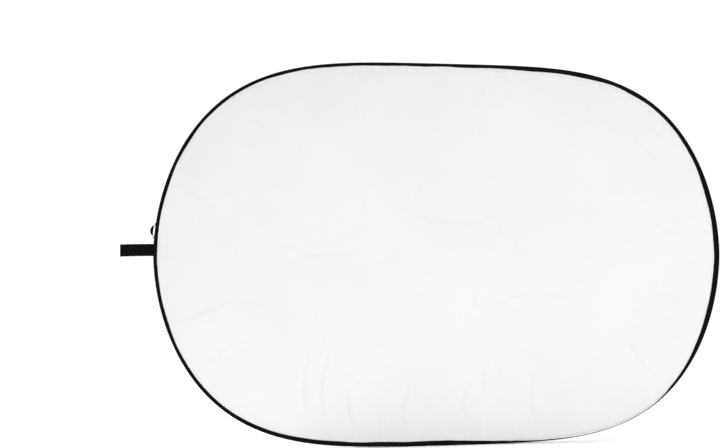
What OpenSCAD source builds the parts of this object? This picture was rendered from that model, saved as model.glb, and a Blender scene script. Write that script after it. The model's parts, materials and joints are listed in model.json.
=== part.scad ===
// Collapsible reflector disc: a spring-steel hoop in a bound edge, with a white and a grey face,
// a closing strap and a hang loop. X runs along the disc, Y through it and Z up.
// The origin is at the bottom of the rim, in the middle of its length and of its thickness.
// The hoop and what is sewn to it are cut into nine lengths, because it bends all along its middle.

/* [Disc] */
// Length of the open disc over its bound edge
disc_l = 1500; // [1200:10:1800]
// Height of the open disc over its bound edge
disc_h = 990; // [800:10:1200]
// How flat the long edges are: 2 is an ellipse, more is flatter
edge_flatness = 4; // [3:0.1:5]
// How full the two ends are: less is rounder, more is squarer
end_fullness = 1.85; // [1.8:0.05:2.2]
// Thickness of each face's cloth
cloth_t = 0.6; // [0.4:0.1:0.8]

/* [Bound edge] */
// Width of the binding tape that shows on each face
lap_w = 13; // [11:0.5:18]
// Thickness of the binding tape
tape_t = 0.9; // [0.6:0.1:1]
// Thickness of the edge over the hoop, front to back
rim_t = 8.4; // [8.2:0.1:10]
// Width of the spring-steel band, across the disc
band_w = 5; // [4:0.1:5]
// Thickness of the spring-steel band
band_t = 1.2; // [0.8:0.1:1.2]
// Width of the ridge of a seam's thread
thread_w = 0.5; // [0.3:0.1:0.8]

/* [Fold] */
// Most that each of the bends turns, in degrees
bend_max = 26.5; // [10:0.5:28]
// Distance of the first bend from the middle of the disc
bend_first = 32; // [25:1:40]
// Distance from the first bend to the second, which grows outwards
bend_pitch = 72; // [60:1:90]
// Growth of that distance from the second bend to the third
bend_growth = 20; // [10:1:25]

/* [Closing strap] */
// Width of the strap's webbing
strap_w = 31; // [25:1:50]
// Length of the strap beyond the rim
strap_l = 81; // [75:1:120]
// Thickness of the doubled webbing
strap_t = 2.4; // [1.6:0.1:3]
// Height of the strap's middle line above the bottom of the disc
strap_z = 505; // [480:1:520]
// Thickness of the loop pile and its backing
loop_pile_t = 1.4; // [1:0.1:1.6]
// Thickness of the hooks and their backing
hook_t = 1.2; // [1:0.1:1.4]

/* [Hang loop] */
// Length of rim that the hang loop spans
hang_span = 34; // [28:1:44]
// How far the hang loop stands off the rim
hang_reach = 11; // [9:0.5:16]
// Width of the hang loop's tape, through the disc
hang_w = 8; // [6:0.5:10]
// Height of the middle of the hang loop above the strap's middle line
hang_up = 48; // [46:1:70]

/* [Hidden] */
SECTIONS = ["left_end", "left_3", "left_2", "left_1", "middle", "right_1", "right_2", "right_3", "right_end"];

half_l = disc_l / 2;
half_h = disc_h / 2;
outline_steps = 40;                 // points on a quarter of the outline
rim_half = rim_t / 2;
channel_half = rim_half - tape_t;   // half the inside width of the sleeve that holds the hoop
channel_depth = 3.6;                // from the outline to the seam that closes the sleeve
sleeve_wall = tape_t;
lap_y = 1.6;                        // inner side of the laps, where the cloth lies
cloth_inset = channel_depth + tape_t + 0.3;

// The hoop's band stands edge on, in the middle of its sleeve.
band_out = 1.6;
band_in = band_out + band_t;
ferrule_wall = 0.4;
ferrule_l = 70;
shrink_wall = 0.25;
shrink_l = 104;
snug = 0.02;                        // clearance of the band in its ferrule
hoop_end_gap = 0.6;                 // between the two ends of the band

seam_rows = [5.6, 10.6];            // the two rows of the seam, from the outline
thread_h = 0.35;

// The bends, outwards from the middle, and the edges of the nine lengths.
bend_x = [
    bend_first,
    bend_first + bend_pitch,
    bend_first + 2 * bend_pitch + bend_growth,
    bend_first + 3 * bend_pitch + 2 * bend_growth + 30
];
past_end = half_l + 50;
edge_x = [-past_end, -bend_x[3], -bend_x[2], -bend_x[1], -bend_x[0],
          bend_x[0], bend_x[1], bend_x[2], bend_x[3], past_end];
bend_gap = 0.3;                     // half the gap at a bend, in the middle of the thickness
mitre = bend_max / 2 + 1;           // each length's end slopes back, so that neighbours can close up

// A point on the outline at share u of its half length, moved in by d along the normal.
function rise(u) = half_h * pow(1 - pow(u, edge_flatness), 1 / end_fullness);
function normal(u, v) =
    let (n = [edge_flatness * pow(u, edge_flatness - 1) / half_l,
              end_fullness * pow(v, end_fullness - 1) / half_h])
    n / norm(n);
function quarter_point(u, d) =
    let (z = rise(u), n = normal(u, z / half_h))
    [half_l * u - d * n[0], z - d * n[1]];
function quarter(d) = [
    for (i = [0 : outline_steps])
        let (w = 1 - i / outline_steps) quarter_point(1 - w * w, d)
];
// The whole outline, moved in by d. It runs straight across the middle, where it is flat to a hair.
function outline(d) =
    let (q = quarter(d), n = outline_steps)
    concat(
        [for (i = [n : -1 : 1]) [q[i][0], q[i][1]]],
        [for (i = [1 : n]) [-q[i][0], q[i][1]]],
        [for (i = [n - 1 : -1 : 1]) [-q[i][0], -q[i][1]]],
        [for (i = [1 : n - 1]) [q[i][0], -q[i][1]]]
    );

// Share of the half length at which the outline is z above the disc's middle.
function share_at(z) = pow(1 - pow(abs(z) / half_h, end_fullness), 1 / edge_flatness);

// A flat sketch in X and Z, made solid from y0 to y1, with the disc's bottom at z = 0.
module through(y0, y1)
    translate([0, 0, half_h]) rotate([90, 0, 0]) translate([0, 0, -y1]) linear_extrude(y1 - y0) children();

module ring(d0, d1, y0, y1)
    through(y0, y1) difference() {
        polygon(outline(d0));
        polygon(outline(d1));
    }

// Both faces of the disc: the children and their mirror image.
module both_faces() {
    children();
    mirror([0, 1, 0]) children();
}

// One length of the disc, between two bends, with its ends sloped back from the middle plane.
module length_of(s) {
    reach = 12;
    slope = reach * tan(mitre);
    x0 = edge_x[s] + bend_gap;
    x1 = edge_x[s + 1] - bend_gap;
    intersection() {
        children();
        translate([0, 0, -1]) linear_extrude(disc_h + 2) polygon([
            [x0, 0], [x0 + slope, -reach], [x1 - slope, -reach],
            [x1, 0], [x1 - slope, reach], [x0 + slope, reach]
        ]);
    }
}

// A box that holds the left tip of the disc, from the disc's middle line down and up by half of l.
module left_tip(l)
    translate([-half_l - 5, -20, half_h - l / 2]) cube([40, 40, l]);

// The tape is folded round the hoop, and its two laps lie on the faces' cloth.
module binding(s) {
    color("#101011") length_of(s) union() {
        ring(0, tape_t, -rim_half, rim_half);
        both_faces() {
            ring(0, channel_depth + tape_t, channel_half, rim_half);
            ring(channel_depth, channel_depth + tape_t, lap_y, rim_half);
            ring(channel_depth, lap_w, lap_y, lap_y + tape_t);
        }
    }
}

module cloth(s, y0, y1) length_of(s) through(y0, y1) polygon(outline(cloth_inset));

module white_face(s) color("#f4f4f3") cloth(s, -lap_y, cloth_t - lap_y);

module grey_face(s) color("#7f8081") cloth(s, lap_y - cloth_t, lap_y);

// The band runs all round, and its two ends meet at the left tip.
module hoop(s) {
    color("#8d9196") difference() {
        length_of(s) ring(band_out, band_in, -band_w / 2, band_w / 2);
        if (s == 0) left_tip(hoop_end_gap);
    }
}

module ferrule() {
    out = band_out - ferrule_wall;
    in = band_in + ferrule_wall;
    side = band_w / 2 + ferrule_wall;
    color("#b9bcc0") intersection() {
        difference() {
            ring(out, in, -side, side);
            ring(band_out - snug, band_in + snug, -band_w / 2 - snug, band_w / 2 + snug);
        }
        left_tip(ferrule_l);
    }
}

module ferrule_sleeve() {
    out = band_out - ferrule_wall;
    in = band_in + ferrule_wall;
    side = band_w / 2 + ferrule_wall;
    color("#1b1b1d") difference() {
        intersection() {
            ring(out - shrink_wall, in + shrink_wall, -side - shrink_wall, side + shrink_wall);
            left_tip(shrink_l);
        }
        intersection() {
            ring(out, in, -side, side);
            left_tip(ferrule_l);
        }
        ring(band_out - snug, band_in + snug, -band_w / 2 - snug, band_w / 2 + snug);
    }
}

module seam_thread(s) {
    y = lap_y + tape_t;
    color("#2a2a2c") length_of(s) both_faces()
        for (d = seam_rows) ring(d - thread_w / 2, d + thread_w / 2, y, y + thread_h);
}

// The strap. It flexes where it leaves its anchor, and again half way along, where it folds on itself.
anchor_t = 1.1;
anchor_y = rim_half + 0.1;
anchor_depth = 9;
wall_x = -half_l - 0.2;
flex_x = wall_x - anchor_t - strap_t / 2 - 0.4;
tip_x = -half_l - strap_l;
fold_short = 6;                     // folded back, the tip ends this far short of the anchor
fold_x = (flex_x + tip_x - fold_short) / 2;
fold_y = strap_t / 2 + loop_pile_t + 0.1;
fold_gap = 1;
patch_margin = 2;
stitch_h = 0.3;

module at_strap() translate([0, 0, strap_z - strap_w / 2]) children();

module strap_anchor() {
    y = anchor_y + anchor_t;
    color("#0c0c0d") at_strap() {
        translate([wall_x - anchor_t, -y, 0]) cube([anchor_t, 2 * y, strap_w]);
        both_faces()
            translate([wall_x - 0.01, anchor_y, 0]) cube([anchor_depth, anchor_t, strap_w]);
    }
}

module anchor_bar_tack() {
    rows = [3.2, 6.6];
    color("#2a2a2c") at_strap() both_faces()
        for (x = rows)
            translate([wall_x + x, anchor_y + anchor_t, 2]) cube([1.2, stitch_h, strap_w - 4]);
}

module strap_web() {
    color("#0c0c0d") at_strap() {
        translate([flex_x, 0, 0]) cylinder(h = strap_w, d = strap_t, $fn = 32);
        translate([fold_x + fold_gap, -strap_t / 2, 0])
            cube([flex_x - fold_x - fold_gap, strap_t, strap_w]);
    }
}

module strap_tip()
    color("#0c0c0d") at_strap() translate([tip_x, -strap_t / 2, 0])
        cube([fold_x - fold_gap - tip_x, strap_t, strap_w]);

// A patch on the back of the strap, from x0 to x1.
module patch(x0, x1, t)
    at_strap() translate([x0, strap_t / 2, patch_margin]) cube([x1 - x0, t, strap_w - 2 * patch_margin]);

// A box stitch on the front of the strap, from x0 to x1.
module box_stitch(x0, x1) {
    z0 = 2 * patch_margin;
    l = x1 - x0;
    h = strap_w - 2 * z0;
    at_strap() translate([x0, -strap_t / 2 - stitch_h, z0]) difference() {
        cube([l, stitch_h, h]);
        translate([thread_w, -1, thread_w]) cube([l - 2 * thread_w, stitch_h + 2, h - 2 * thread_w]);
    }
}

patch_in_x = flex_x - 7;
patch_out_x = fold_x + 4;
hook_in_x = fold_x - 8;
hook_out_x = tip_x + 2;

module loop_patch() color("#161617") patch(patch_out_x, patch_in_x, loop_pile_t);

module hook_patch() color("#6b6c6e") patch(hook_out_x, hook_in_x, hook_t);

module loop_patch_stitching() color("#2a2a2c") box_stitch(patch_out_x + 2, patch_in_x - 2);

module hook_patch_stitching() color("#2a2a2c") box_stitch(hook_out_x + 2, hook_in_x - 2);

// The hang loop stands on the outline a little above the strap, square to the rim there.
hang_dz = strap_z + hang_up - half_h;
hang_u = share_at(hang_dz);
hang_n = normal(hang_u, abs(hang_dz) / half_h);
hang_tilt = atan2(hang_n[1], hang_n[0]);
hang_t = 1;
foot_t = 1;
foot_clear = 0.15;
hang_hinge = foot_clear + foot_t + 0.6;

module at_hang()
    translate([-half_l * hang_u, 0, half_h + hang_dz]) rotate([0, hang_tilt, 0]) children();

// A sketch in the hang loop's own X and Z, made solid over the tape's width.
module across_hang(w) rotate([90, 0, 0]) translate([0, 0, -w / 2]) linear_extrude(w) children();

// The tape leaves the rim at a slant, runs along it, and comes back.
module hang_loop() {
    foot = hang_span / 2;
    flat = hang_span / 5;
    slant = (hang_reach - hang_hinge) / (foot - flat);
    inner_foot = foot - hang_t / slant - 0.6;
    wedge = 50;
    near = 0.4;
    color("#141415") at_hang() intersection() {
        across_hang(hang_w) polygon([
            [-hang_hinge, -foot], [-hang_reach, -flat], [-hang_reach, flat], [-hang_hinge, foot],
            [-hang_hinge, inner_foot], [-hang_reach + hang_t, flat - 0.4],
            [-hang_reach + hang_t, -flat + 0.4], [-hang_hinge, -inner_foot]
        ]);
        translate([0, 0, -foot - 1]) linear_extrude(2 * foot + 2) polygon([
            [-hang_hinge, -near], [-hang_hinge - wedge, -near - wedge],
            [-hang_hinge - wedge, near + wedge], [-hang_hinge, near]
        ]);
    }
}

// The tape's two ends are turned out and sewn flat on the rim.
module hang_loop_feet() {
    foot_l = 7;
    color("#141415") at_hang()
        for (side = [-1, 1])
            translate([-foot_clear - foot_t, -hang_w / 2, side * hang_span / 2 - foot_l / 2])
                cube([foot_t, hang_w, foot_l]);
}

binding(0);  // binding_left_end
binding(1);  // binding_left_3
binding(2);  // binding_left_2
binding(3);  // binding_left_1
binding(4);  // binding_middle
binding(5);  // binding_right_1
binding(6);  // binding_right_2
binding(7);  // binding_right_3
binding(8);  // binding_right_end
white_face(0);  // white_face_left_end
white_face(1);  // white_face_left_3
white_face(2);  // white_face_left_2
white_face(3);  // white_face_left_1
white_face(4);  // white_face_middle
white_face(5);  // white_face_right_1
white_face(6);  // white_face_right_2
white_face(7);  // white_face_right_3
white_face(8);  // white_face_right_end
grey_face(0);  // grey_face_left_end
grey_face(1);  // grey_face_left_3
grey_face(2);  // grey_face_left_2
grey_face(3);  // grey_face_left_1
grey_face(4);  // grey_face_middle
grey_face(5);  // grey_face_right_1
grey_face(6);  // grey_face_right_2
grey_face(7);  // grey_face_right_3
grey_face(8);  // grey_face_right_end
hoop(0);  // hoop_left_end
hoop(1);  // hoop_left_3
hoop(2);  // hoop_left_2
hoop(3);  // hoop_left_1
hoop(4);  // hoop_middle
hoop(5);  // hoop_right_1
hoop(6);  // hoop_right_2
hoop(7);  // hoop_right_3
hoop(8);  // hoop_right_end
seam_thread(0);  // seam_thread_left_end
seam_thread(1);  // seam_thread_left_3
seam_thread(2);  // seam_thread_left_2
seam_thread(3);  // seam_thread_left_1
seam_thread(4);  // seam_thread_middle
seam_thread(5);  // seam_thread_right_1
seam_thread(6);  // seam_thread_right_2
seam_thread(7);  // seam_thread_right_3
seam_thread(8);  // seam_thread_right_end
ferrule();
ferrule_sleeve();
strap_anchor();
strap_web();
strap_tip();
loop_patch();
hook_patch();
anchor_bar_tack();
loop_patch_stitching();
hook_patch_stitching();
hang_loop();
hang_loop_feet();
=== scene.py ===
"""A collapsible reflector disc: a sprung hoop in a bound edge, two faces, a strap and a hang loop.

The disc stands upright along X, its white face to -Y and its grey face to +Y, with the bottom of its rim
at the origin. It bends on eight upright hinges, so the hoop, the binding, the faces and the seam are made
whole and then cut into eight strips, one across each hinge.
"""

import json
import math
from functools import cache

import bpy
import numpy as np
from bpy.props import FloatProperty, FloatVectorProperty, IntProperty, PointerProperty
from mathutils import Matrix, Vector


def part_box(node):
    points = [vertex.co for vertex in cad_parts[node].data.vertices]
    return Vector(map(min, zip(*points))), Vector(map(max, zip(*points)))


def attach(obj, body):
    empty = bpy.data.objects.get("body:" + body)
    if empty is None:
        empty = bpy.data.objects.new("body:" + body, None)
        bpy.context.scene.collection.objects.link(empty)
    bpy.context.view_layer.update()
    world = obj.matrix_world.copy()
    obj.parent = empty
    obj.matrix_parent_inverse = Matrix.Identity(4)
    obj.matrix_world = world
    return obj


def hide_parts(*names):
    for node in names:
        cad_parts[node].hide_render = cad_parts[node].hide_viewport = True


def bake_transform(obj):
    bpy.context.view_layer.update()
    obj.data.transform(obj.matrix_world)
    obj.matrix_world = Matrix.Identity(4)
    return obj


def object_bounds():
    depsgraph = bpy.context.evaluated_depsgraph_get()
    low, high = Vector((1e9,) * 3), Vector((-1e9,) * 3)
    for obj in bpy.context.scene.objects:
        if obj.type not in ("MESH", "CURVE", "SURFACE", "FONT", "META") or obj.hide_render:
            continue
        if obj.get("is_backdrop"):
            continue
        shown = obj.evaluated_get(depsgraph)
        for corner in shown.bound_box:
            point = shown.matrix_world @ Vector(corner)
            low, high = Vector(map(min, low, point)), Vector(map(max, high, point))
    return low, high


bl_info = {
    "name": "Collapsible Reflector Disc",
    "version": (1, 0, 0),
    "blender": (4, 5, 0),
    "location": "View3D > Sidebar > Reflector",
    "description": "Builds a folding light reflector around its CAD frame",
    "category": "Add Mesh",
}

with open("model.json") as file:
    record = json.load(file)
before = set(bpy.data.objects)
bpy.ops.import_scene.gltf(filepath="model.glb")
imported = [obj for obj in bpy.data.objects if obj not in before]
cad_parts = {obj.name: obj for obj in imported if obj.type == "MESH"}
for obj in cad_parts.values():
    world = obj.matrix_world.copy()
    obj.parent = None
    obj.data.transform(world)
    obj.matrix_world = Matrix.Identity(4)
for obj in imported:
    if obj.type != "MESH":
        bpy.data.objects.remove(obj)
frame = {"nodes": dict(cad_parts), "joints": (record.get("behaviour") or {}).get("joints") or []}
CAD_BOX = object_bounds()

MM = 0.001
HALF_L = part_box("binding_right_end")[1].x
HALF_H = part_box("binding_middle")[1].z / 2
JOINTS = {j["name"]: j for j in frame["joints"]}
BENDS = sorted(j["pos_m"][0] for n, j in JOINTS.items() if n.startswith("bend_right"))

# The strips' edges lie between the bends, and each strip has one bend in its middle.
STRIP_EDGES = [0.0]
for _bend in BENDS:
    STRIP_EDGES.append(2 * _bend - STRIP_EDGES[-1])
WING_EDGE = STRIP_EDGES[-2]
SEAM_X = [-x for x in STRIP_EDGES[3:0:-1]] + STRIP_EDGES[:4]
# Each strip is named after the body at its far end, and the other body is its near one.
BODIES = ["left_end", "left_3", "left_2", "left_1", "middle", "right_1", "right_2", "right_3", "right_end"]
STRIPS = list(zip(BODIES[:4], BODIES[1:5])) + list(zip(BODIES[5:], BODIES[4:8]))

# The outline's two powers: the long edges' flatness and the ends' fullness.
FLATNESS = 4.0
FULLNESS = 1.85

# The section of the rim, from the outline inwards: the sleeve over the hoop, then the laps on the cloth.
SLEEVE_DEPTH = 6.6 * MM
SLEEVE_HALF = 4.0 * MM
SLEEVE_SQUARE = 3.0
TAPE_T = 0.5 * MM
CLOTH_Y = 1.35 * MM
LAP_Y = 2.1 * MM
FIELD_R = 14 * MM            # the faces' own folds start at this depth
HEIGHT_LIMIT = 13.5 * MM     # the most that a face stands out
BAND_R = (1.6 * MM, 2.8 * MM)
BAND_HALF = 2.45 * MM


# ---------------------------------------------------------------- sizes and colours


def length(name, description, default):
    return FloatProperty(name=name, description=description, default=default, unit="LENGTH")


def factor(name, description, default):
    return FloatProperty(name=name, description=description, default=default, subtype="FACTOR")


def count_of(name, description, default):
    return IntProperty(name=name, description=description, default=default, min=40)


def colour(name, description, *default):
    return FloatVectorProperty(name=name, description=description, default=default, size=3, subtype="COLOR")


class ReflectorSizes(bpy.types.PropertyGroup):
    """Sizes of the made pieces"""

    column_step: length("Mesh Column", "Spacing of the cloth's columns", 3.2 * MM)
    wing_columns: count_of("Wing Columns", "Columns of cloth from the last seam to the tip", 190)
    rows: count_of("Mesh Rows", "Rows of cloth between the laps", 290)
    white_slack: factor("White Slack", "Height of the white face's folds, as a share", 1.0)
    grey_slack: factor("Grey Slack", "Height of the grey face's folds, as a share", 1.0)
    pitch: length("Stitch Pitch", "Distance from one stitch to the next", 3.6 * MM)
    stitch_l: length("Stitch Length", "Length of thread that shows", 2.7 * MM)
    thread: length("Thread", "Thickness of the sewing thread", 0.55 * MM)
    settle_step: length("Settling Step", "Mesh step of the cloth as its folds settle", 12.5 * MM)
    settle_slack: factor("Slack", "How much larger the grey cloth is cut than its hoop", 0.007)
    rib_pitch: length("Webbing Rib", "Width of one rib of the strap's webbing", 1.7 * MM)
    hook_pitch: length("Hook Pitch", "Distance between the hooks of the hook patch", 1.5 * MM)


class ReflectorColours(bpy.types.PropertyGroup):
    """Colours of the cloths, tapes and metal"""

    white: colour("White Cloth", "Colour of the white face", 0.80, 0.80, 0.80)
    grey: colour("Grey Cloth", "Colour of the grey face", 0.122, 0.122, 0.124)
    tape: colour("Binding Tape", "Colour of the bound edge", 0.0026, 0.0026, 0.0029)
    webbing: colour("Webbing", "Colour of the strap", 0.0018, 0.0018, 0.002)
    hooks: colour("Hook Patch", "Colour of the hook patch", 0.062, 0.062, 0.064)
    thread: colour("Thread", "Colour of the sewing thread", 0.010, 0.010, 0.0105)
    steel: colour("Spring Steel", "Colour of the hoop's band", 0.36, 0.37, 0.39)


def sizes():
    return bpy.context.scene.reflector_sizes


def colours():
    return bpy.context.scene.reflector_colours


# ---------------------------------------------------------------- the outline


def rise(x):
    """Height of the outline above the disc's middle line at x."""
    return HALF_H * np.power(np.clip(1 - np.abs(x / HALF_L) ** FLATNESS, 0, 1), 1 / FULLNESS)


def run_along(x, z):
    """The way run along a line of points, from its start."""
    return np.concatenate([[0], np.cumsum(np.hypot(np.diff(x), np.diff(z)))])


_tips = HALF_L * np.sin(np.linspace(-math.pi / 2, math.pi / 2, 4001))
RIM_LENGTH = 2 * float(np.hypot(np.diff(_tips), np.diff(rise(_tips))).sum())


def outward(x, z):
    """The outline's normals at points x, z, with z counted from the disc's middle line."""
    nx = FLATNESS * np.abs(x / HALF_L) ** (FLATNESS - 1) / HALF_L * np.sign(x)
    nz = FULLNESS * np.abs(z / HALF_H) ** (FULLNESS - 1) / HALF_H * np.sign(z)
    size = np.hypot(nx, nz)
    return nx / size, nz / size


def columns(step, wing):
    """Places along X from tip to tip, close together at the tips, with one on every seam."""
    half = [0.0]
    for low, high in zip(STRIP_EDGES[:3], STRIP_EDGES[1:4]):
        half += list(np.linspace(low, high, max(2, round((high - low) / step)) + 1)[1:])
    share = np.sin(np.linspace(0, math.pi / 2, wing + 1)[1:])
    half += list(WING_EDGE + (HALF_L - WING_EDGE) * share)
    half[-1] = HALF_L
    half = np.array(half)
    return np.concatenate([-half[:0:-1], half])


class Rim:
    """The outline round the whole disc, from the left tip over the top, with its normals and way run."""

    def __init__(self, step, wing):
        cols = columns(step, wing)
        top = rise(cols)
        self.x = np.concatenate([cols, cols[-2::-1]])
        self.z = np.concatenate([top, -top[-2::-1]])
        self.nx, self.nz = outward(self.x, np.where(np.abs(self.z) < 1e-9, 1e-9, self.z))
        self.s = run_along(self.x, self.z)

    def at(self, r, y):
        """The line round the rim at depth r, at y from the middle plane."""
        return np.stack([self.x - r * self.nx, y + 0 * self.x, self.z - r * self.nz + HALF_H], axis=1)


def smooth_step(t):
    t = np.clip(t, 0, 1)
    return t * t * (3 - 2 * t)


def soft_max(a, b, soft=0.25 * MM):
    return 0.5 * (a + b + np.sqrt((a - b) ** 2 + soft**2))


def rounded(t, least=0):
    """A quarter circle: from the least height at t = 0 to full height at t = 1."""
    return np.sqrt(np.clip(1 - (1 - np.clip(t, 0, 1)) ** 2, least, 1))


def waves(x, z, length, seed, count=14, lean=0.0, spread=math.pi):
    """Smooth noise of about unit height: cosines of about one length in many directions."""
    rng = np.random.default_rng(seed)
    total = np.zeros(np.broadcast(x, z).shape)
    for _ in range(count):
        turn = lean + rng.uniform(-spread / 2, spread / 2)
        size = 2 * math.pi / (length * rng.uniform(0.7, 1.5))
        total += np.cos(size * (x * math.cos(turn) + z * math.sin(turn)) + rng.uniform(0, 2 * math.pi))
    return total / math.sqrt(count / 2)


def along_waves(s, length, seed, count=10):
    """Smooth noise along a line. Round the rim it meets itself."""
    rng = np.random.default_rng(seed)
    total = np.zeros_like(s)
    for _ in range(count):
        cycles = max(1, round(RIM_LENGTH / (length * rng.uniform(0.7, 1.5))))
        total += np.cos(2 * math.pi * cycles * s / RIM_LENGTH + rng.uniform(0, 2 * math.pi))
    return total / math.sqrt(count / 2)


# ---------------------------------------------------------------- the section of the rim


def rest(r, inset, flat):
    """Distance from the middle plane at depth r: a squared oval over the hoop, and flat under the laps."""
    middle = SLEEVE_DEPTH / 2
    t = np.clip(np.abs(r - middle) / (middle - inset), 0, 1)
    over = (SLEEVE_HALF - inset) * np.power(1 - t**SLEEVE_SQUARE, 1 / SLEEVE_SQUARE)
    return np.where(r < middle, over, soft_max(over, flat))


def cloth_rest(r):
    """Where a face's cloth lies at depth r, before its folds."""
    return rest(r, TAPE_T, CLOTH_Y)


def tape_rest(r):
    """Where the tape's outer surface lies at depth r."""
    return rest(r, 0.0, LAP_Y)


# Width in mm of the front lap at angles round the disc, anticlockwise from its right end. The tape
# slipped round towards the back at the lower right as it was sewn.
FRONT_LAP = [
    (0, 15.5), (12, 15), (20, 12.5), (26, 11), (45, 11.5), (53, 13), (66, 12.5), (74, 10), (90, 8.8),
    (150, 8.8), (176, 9.4), (186, 9.4), (200, 8.8), (216, 9.8), (234, 11.8), (270, 12.3), (277, 10.5),
    (284, 7.5), (292, 5.4), (300, 3.6), (306, 2.3), (322, 2.6), (329, 6), (336, 10), (344, 14),
    (352, 15.5), (360, 15.5),
]


def lap_edges(rim):
    """Depths of the tape's two edges, front and back, wavering as sewn by hand."""
    marks, widths = zip(*FRONT_LAP)
    plain = np.interp(np.degrees(np.arctan2(rim.z, rim.x)) % 360, marks, widths) * MM
    far = 9.5 * MM + 0.6 * np.maximum(0, 9 * MM - plain) - 0.15 * np.maximum(0, plain - 9 * MM)
    waver = 0.35 * MM * along_waves(rim.s, 0.12, 41) + 0.15 * MM * along_waves(rim.s, 0.035, 42)
    front = np.maximum(plain + waver * np.clip(plain / (6 * MM), 0.2, 1), 1.6 * MM)
    back = np.maximum(far - waver, 3 * MM)
    kernel = np.ones(9) / 9
    return [np.convolve(np.concatenate([v[-5:-1], v, v[1:5]]), kernel, mode="valid") for v in (front, back)]


def pucker(s):
    """How far the laps and the cloth under them are drawn up at distance s round the rim."""
    strength = 0.5 + 0.5 * smooth_step(along_waves(s, 0.35, 31) * 0.5 + 0.5)
    return (0.16 * along_waves(s, 0.030, 32) + 0.12 * along_waves(s, 0.014, 33)) * strength * MM


# ---------------------------------------------------------------- meshes from grids


def grid_faces(points, texture):
    """Corners, faces, their places on the flat cloth, their columns and each corner's point, from a grid.

    Points in one place become one corner. Faces are rows of four, and a face that has shrunk to a
    triangle has -1 last.
    """
    count_k, count_j = points.shape[:2]
    keys = np.round(points.reshape(-1, 3), 7)
    _, first, back = np.unique(keys, axis=0, return_index=True, return_inverse=True)
    corners = points.reshape(-1, 3)[first]
    flat_uv = texture.reshape(-1, 2)
    k, j = np.meshgrid(np.arange(count_k - 1), np.arange(count_j - 1), indexing="ij")
    a = (k * count_j + j).reshape(-1)
    quads = np.stack([a, a + count_j, a + count_j + 1, a + 1], axis=1)
    rings = back.reshape(-1)[quads]
    same = rings == np.roll(rings, 1, axis=1)
    crossed = (rings[:, 0] == rings[:, 2]) | (rings[:, 1] == rings[:, 3])
    whole = (same.sum(axis=1) == 0) & ~crossed
    thin = (same.sum(axis=1) == 1) & ~crossed
    faces = np.full((len(quads), 4), -1)
    uvs = np.zeros((len(quads), 4, 2))
    faces[whole] = rings[whole]
    uvs[whole] = flat_uv[quads[whole]]
    for spot in range(4):
        mine = np.flatnonzero(thin & same[:, spot])
        kept = [i for i in range(4) if i != spot]
        faces[mine[:, None], np.arange(3)] = rings[mine][:, kept]
        uvs[mine[:, None], np.arange(3)] = flat_uv[quads[mine][:, kept]]
    good = whole | thin
    return corners, faces[good], uvs[good], k.reshape(-1)[good], first


def flipped(faces, uvs):
    """The same faces, turned the other way round."""
    order = np.where(faces[:, 3:] < 0, [[2, 1, 0, 3]], [[3, 2, 1, 0]])
    return np.take_along_axis(faces, order, 1), np.take_along_axis(uvs, order[..., None], 1)


def mesh_from(name, corners, faces, uvs, normals=None):
    mesh = bpy.data.meshes.new(name)
    sides = np.where(faces[:, 3] < 0, 3, 4)
    used = np.arange(4)[None, :] < sides[:, None]
    mesh.vertices.add(len(corners))
    mesh.vertices.foreach_set("co", np.ascontiguousarray(corners, dtype=np.float32).reshape(-1))
    mesh.loops.add(int(sides.sum()))
    mesh.loops.foreach_set("vertex_index", faces[used].astype(np.int32))
    mesh.polygons.add(len(faces))
    mesh.polygons.foreach_set("loop_start", (np.cumsum(sides) - sides).astype(np.int32))
    layer = mesh.uv_layers.new(name="flat")
    layer.data.foreach_set("uv", uvs[used].astype(np.float32).reshape(-1))
    mesh.polygons.foreach_set("use_smooth", np.ones(len(faces), dtype=bool))
    mesh.update(calc_edges=True)
    if normals is not None:
        mesh.normals_split_custom_set_from_vertices(normals)
    return mesh


def add_object(name, data, *materials):
    piece = bpy.data.objects.new(name, data)
    bpy.context.scene.collection.objects.link(piece)
    for material in materials:
        data.materials.append(material)
    return piece


def signed_volume(corners, faces):
    """Volume inside a closed mesh, negative where its faces point inwards."""
    last = np.where(faces[:, 3] < 0, faces[:, 2], faces[:, 3])
    p, q, r, t = (corners[i] for i in (faces[:, 0], faces[:, 1], faces[:, 2], last))
    return float((p * (np.cross(q, r) + np.cross(r, t))).sum())


def join_strip(piece, number, cad_name):
    """Hides the CAD pieces that a strip stands for, and bakes its place into its mesh.

    The CAD's middle length goes with the strip to its left.
    """
    tag, near = STRIPS[number]
    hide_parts(cad_name + tag, *([cad_name + "middle"] if number == 3 else []))
    side, rank = (-1, 3 - number) if number < 4 else (1, number - 4)
    start, end = ((side * x, 0, HALF_H) for x in STRIP_EDGES[rank:rank + 2])
    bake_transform(piece)
    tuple(start)
    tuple(end)


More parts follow.
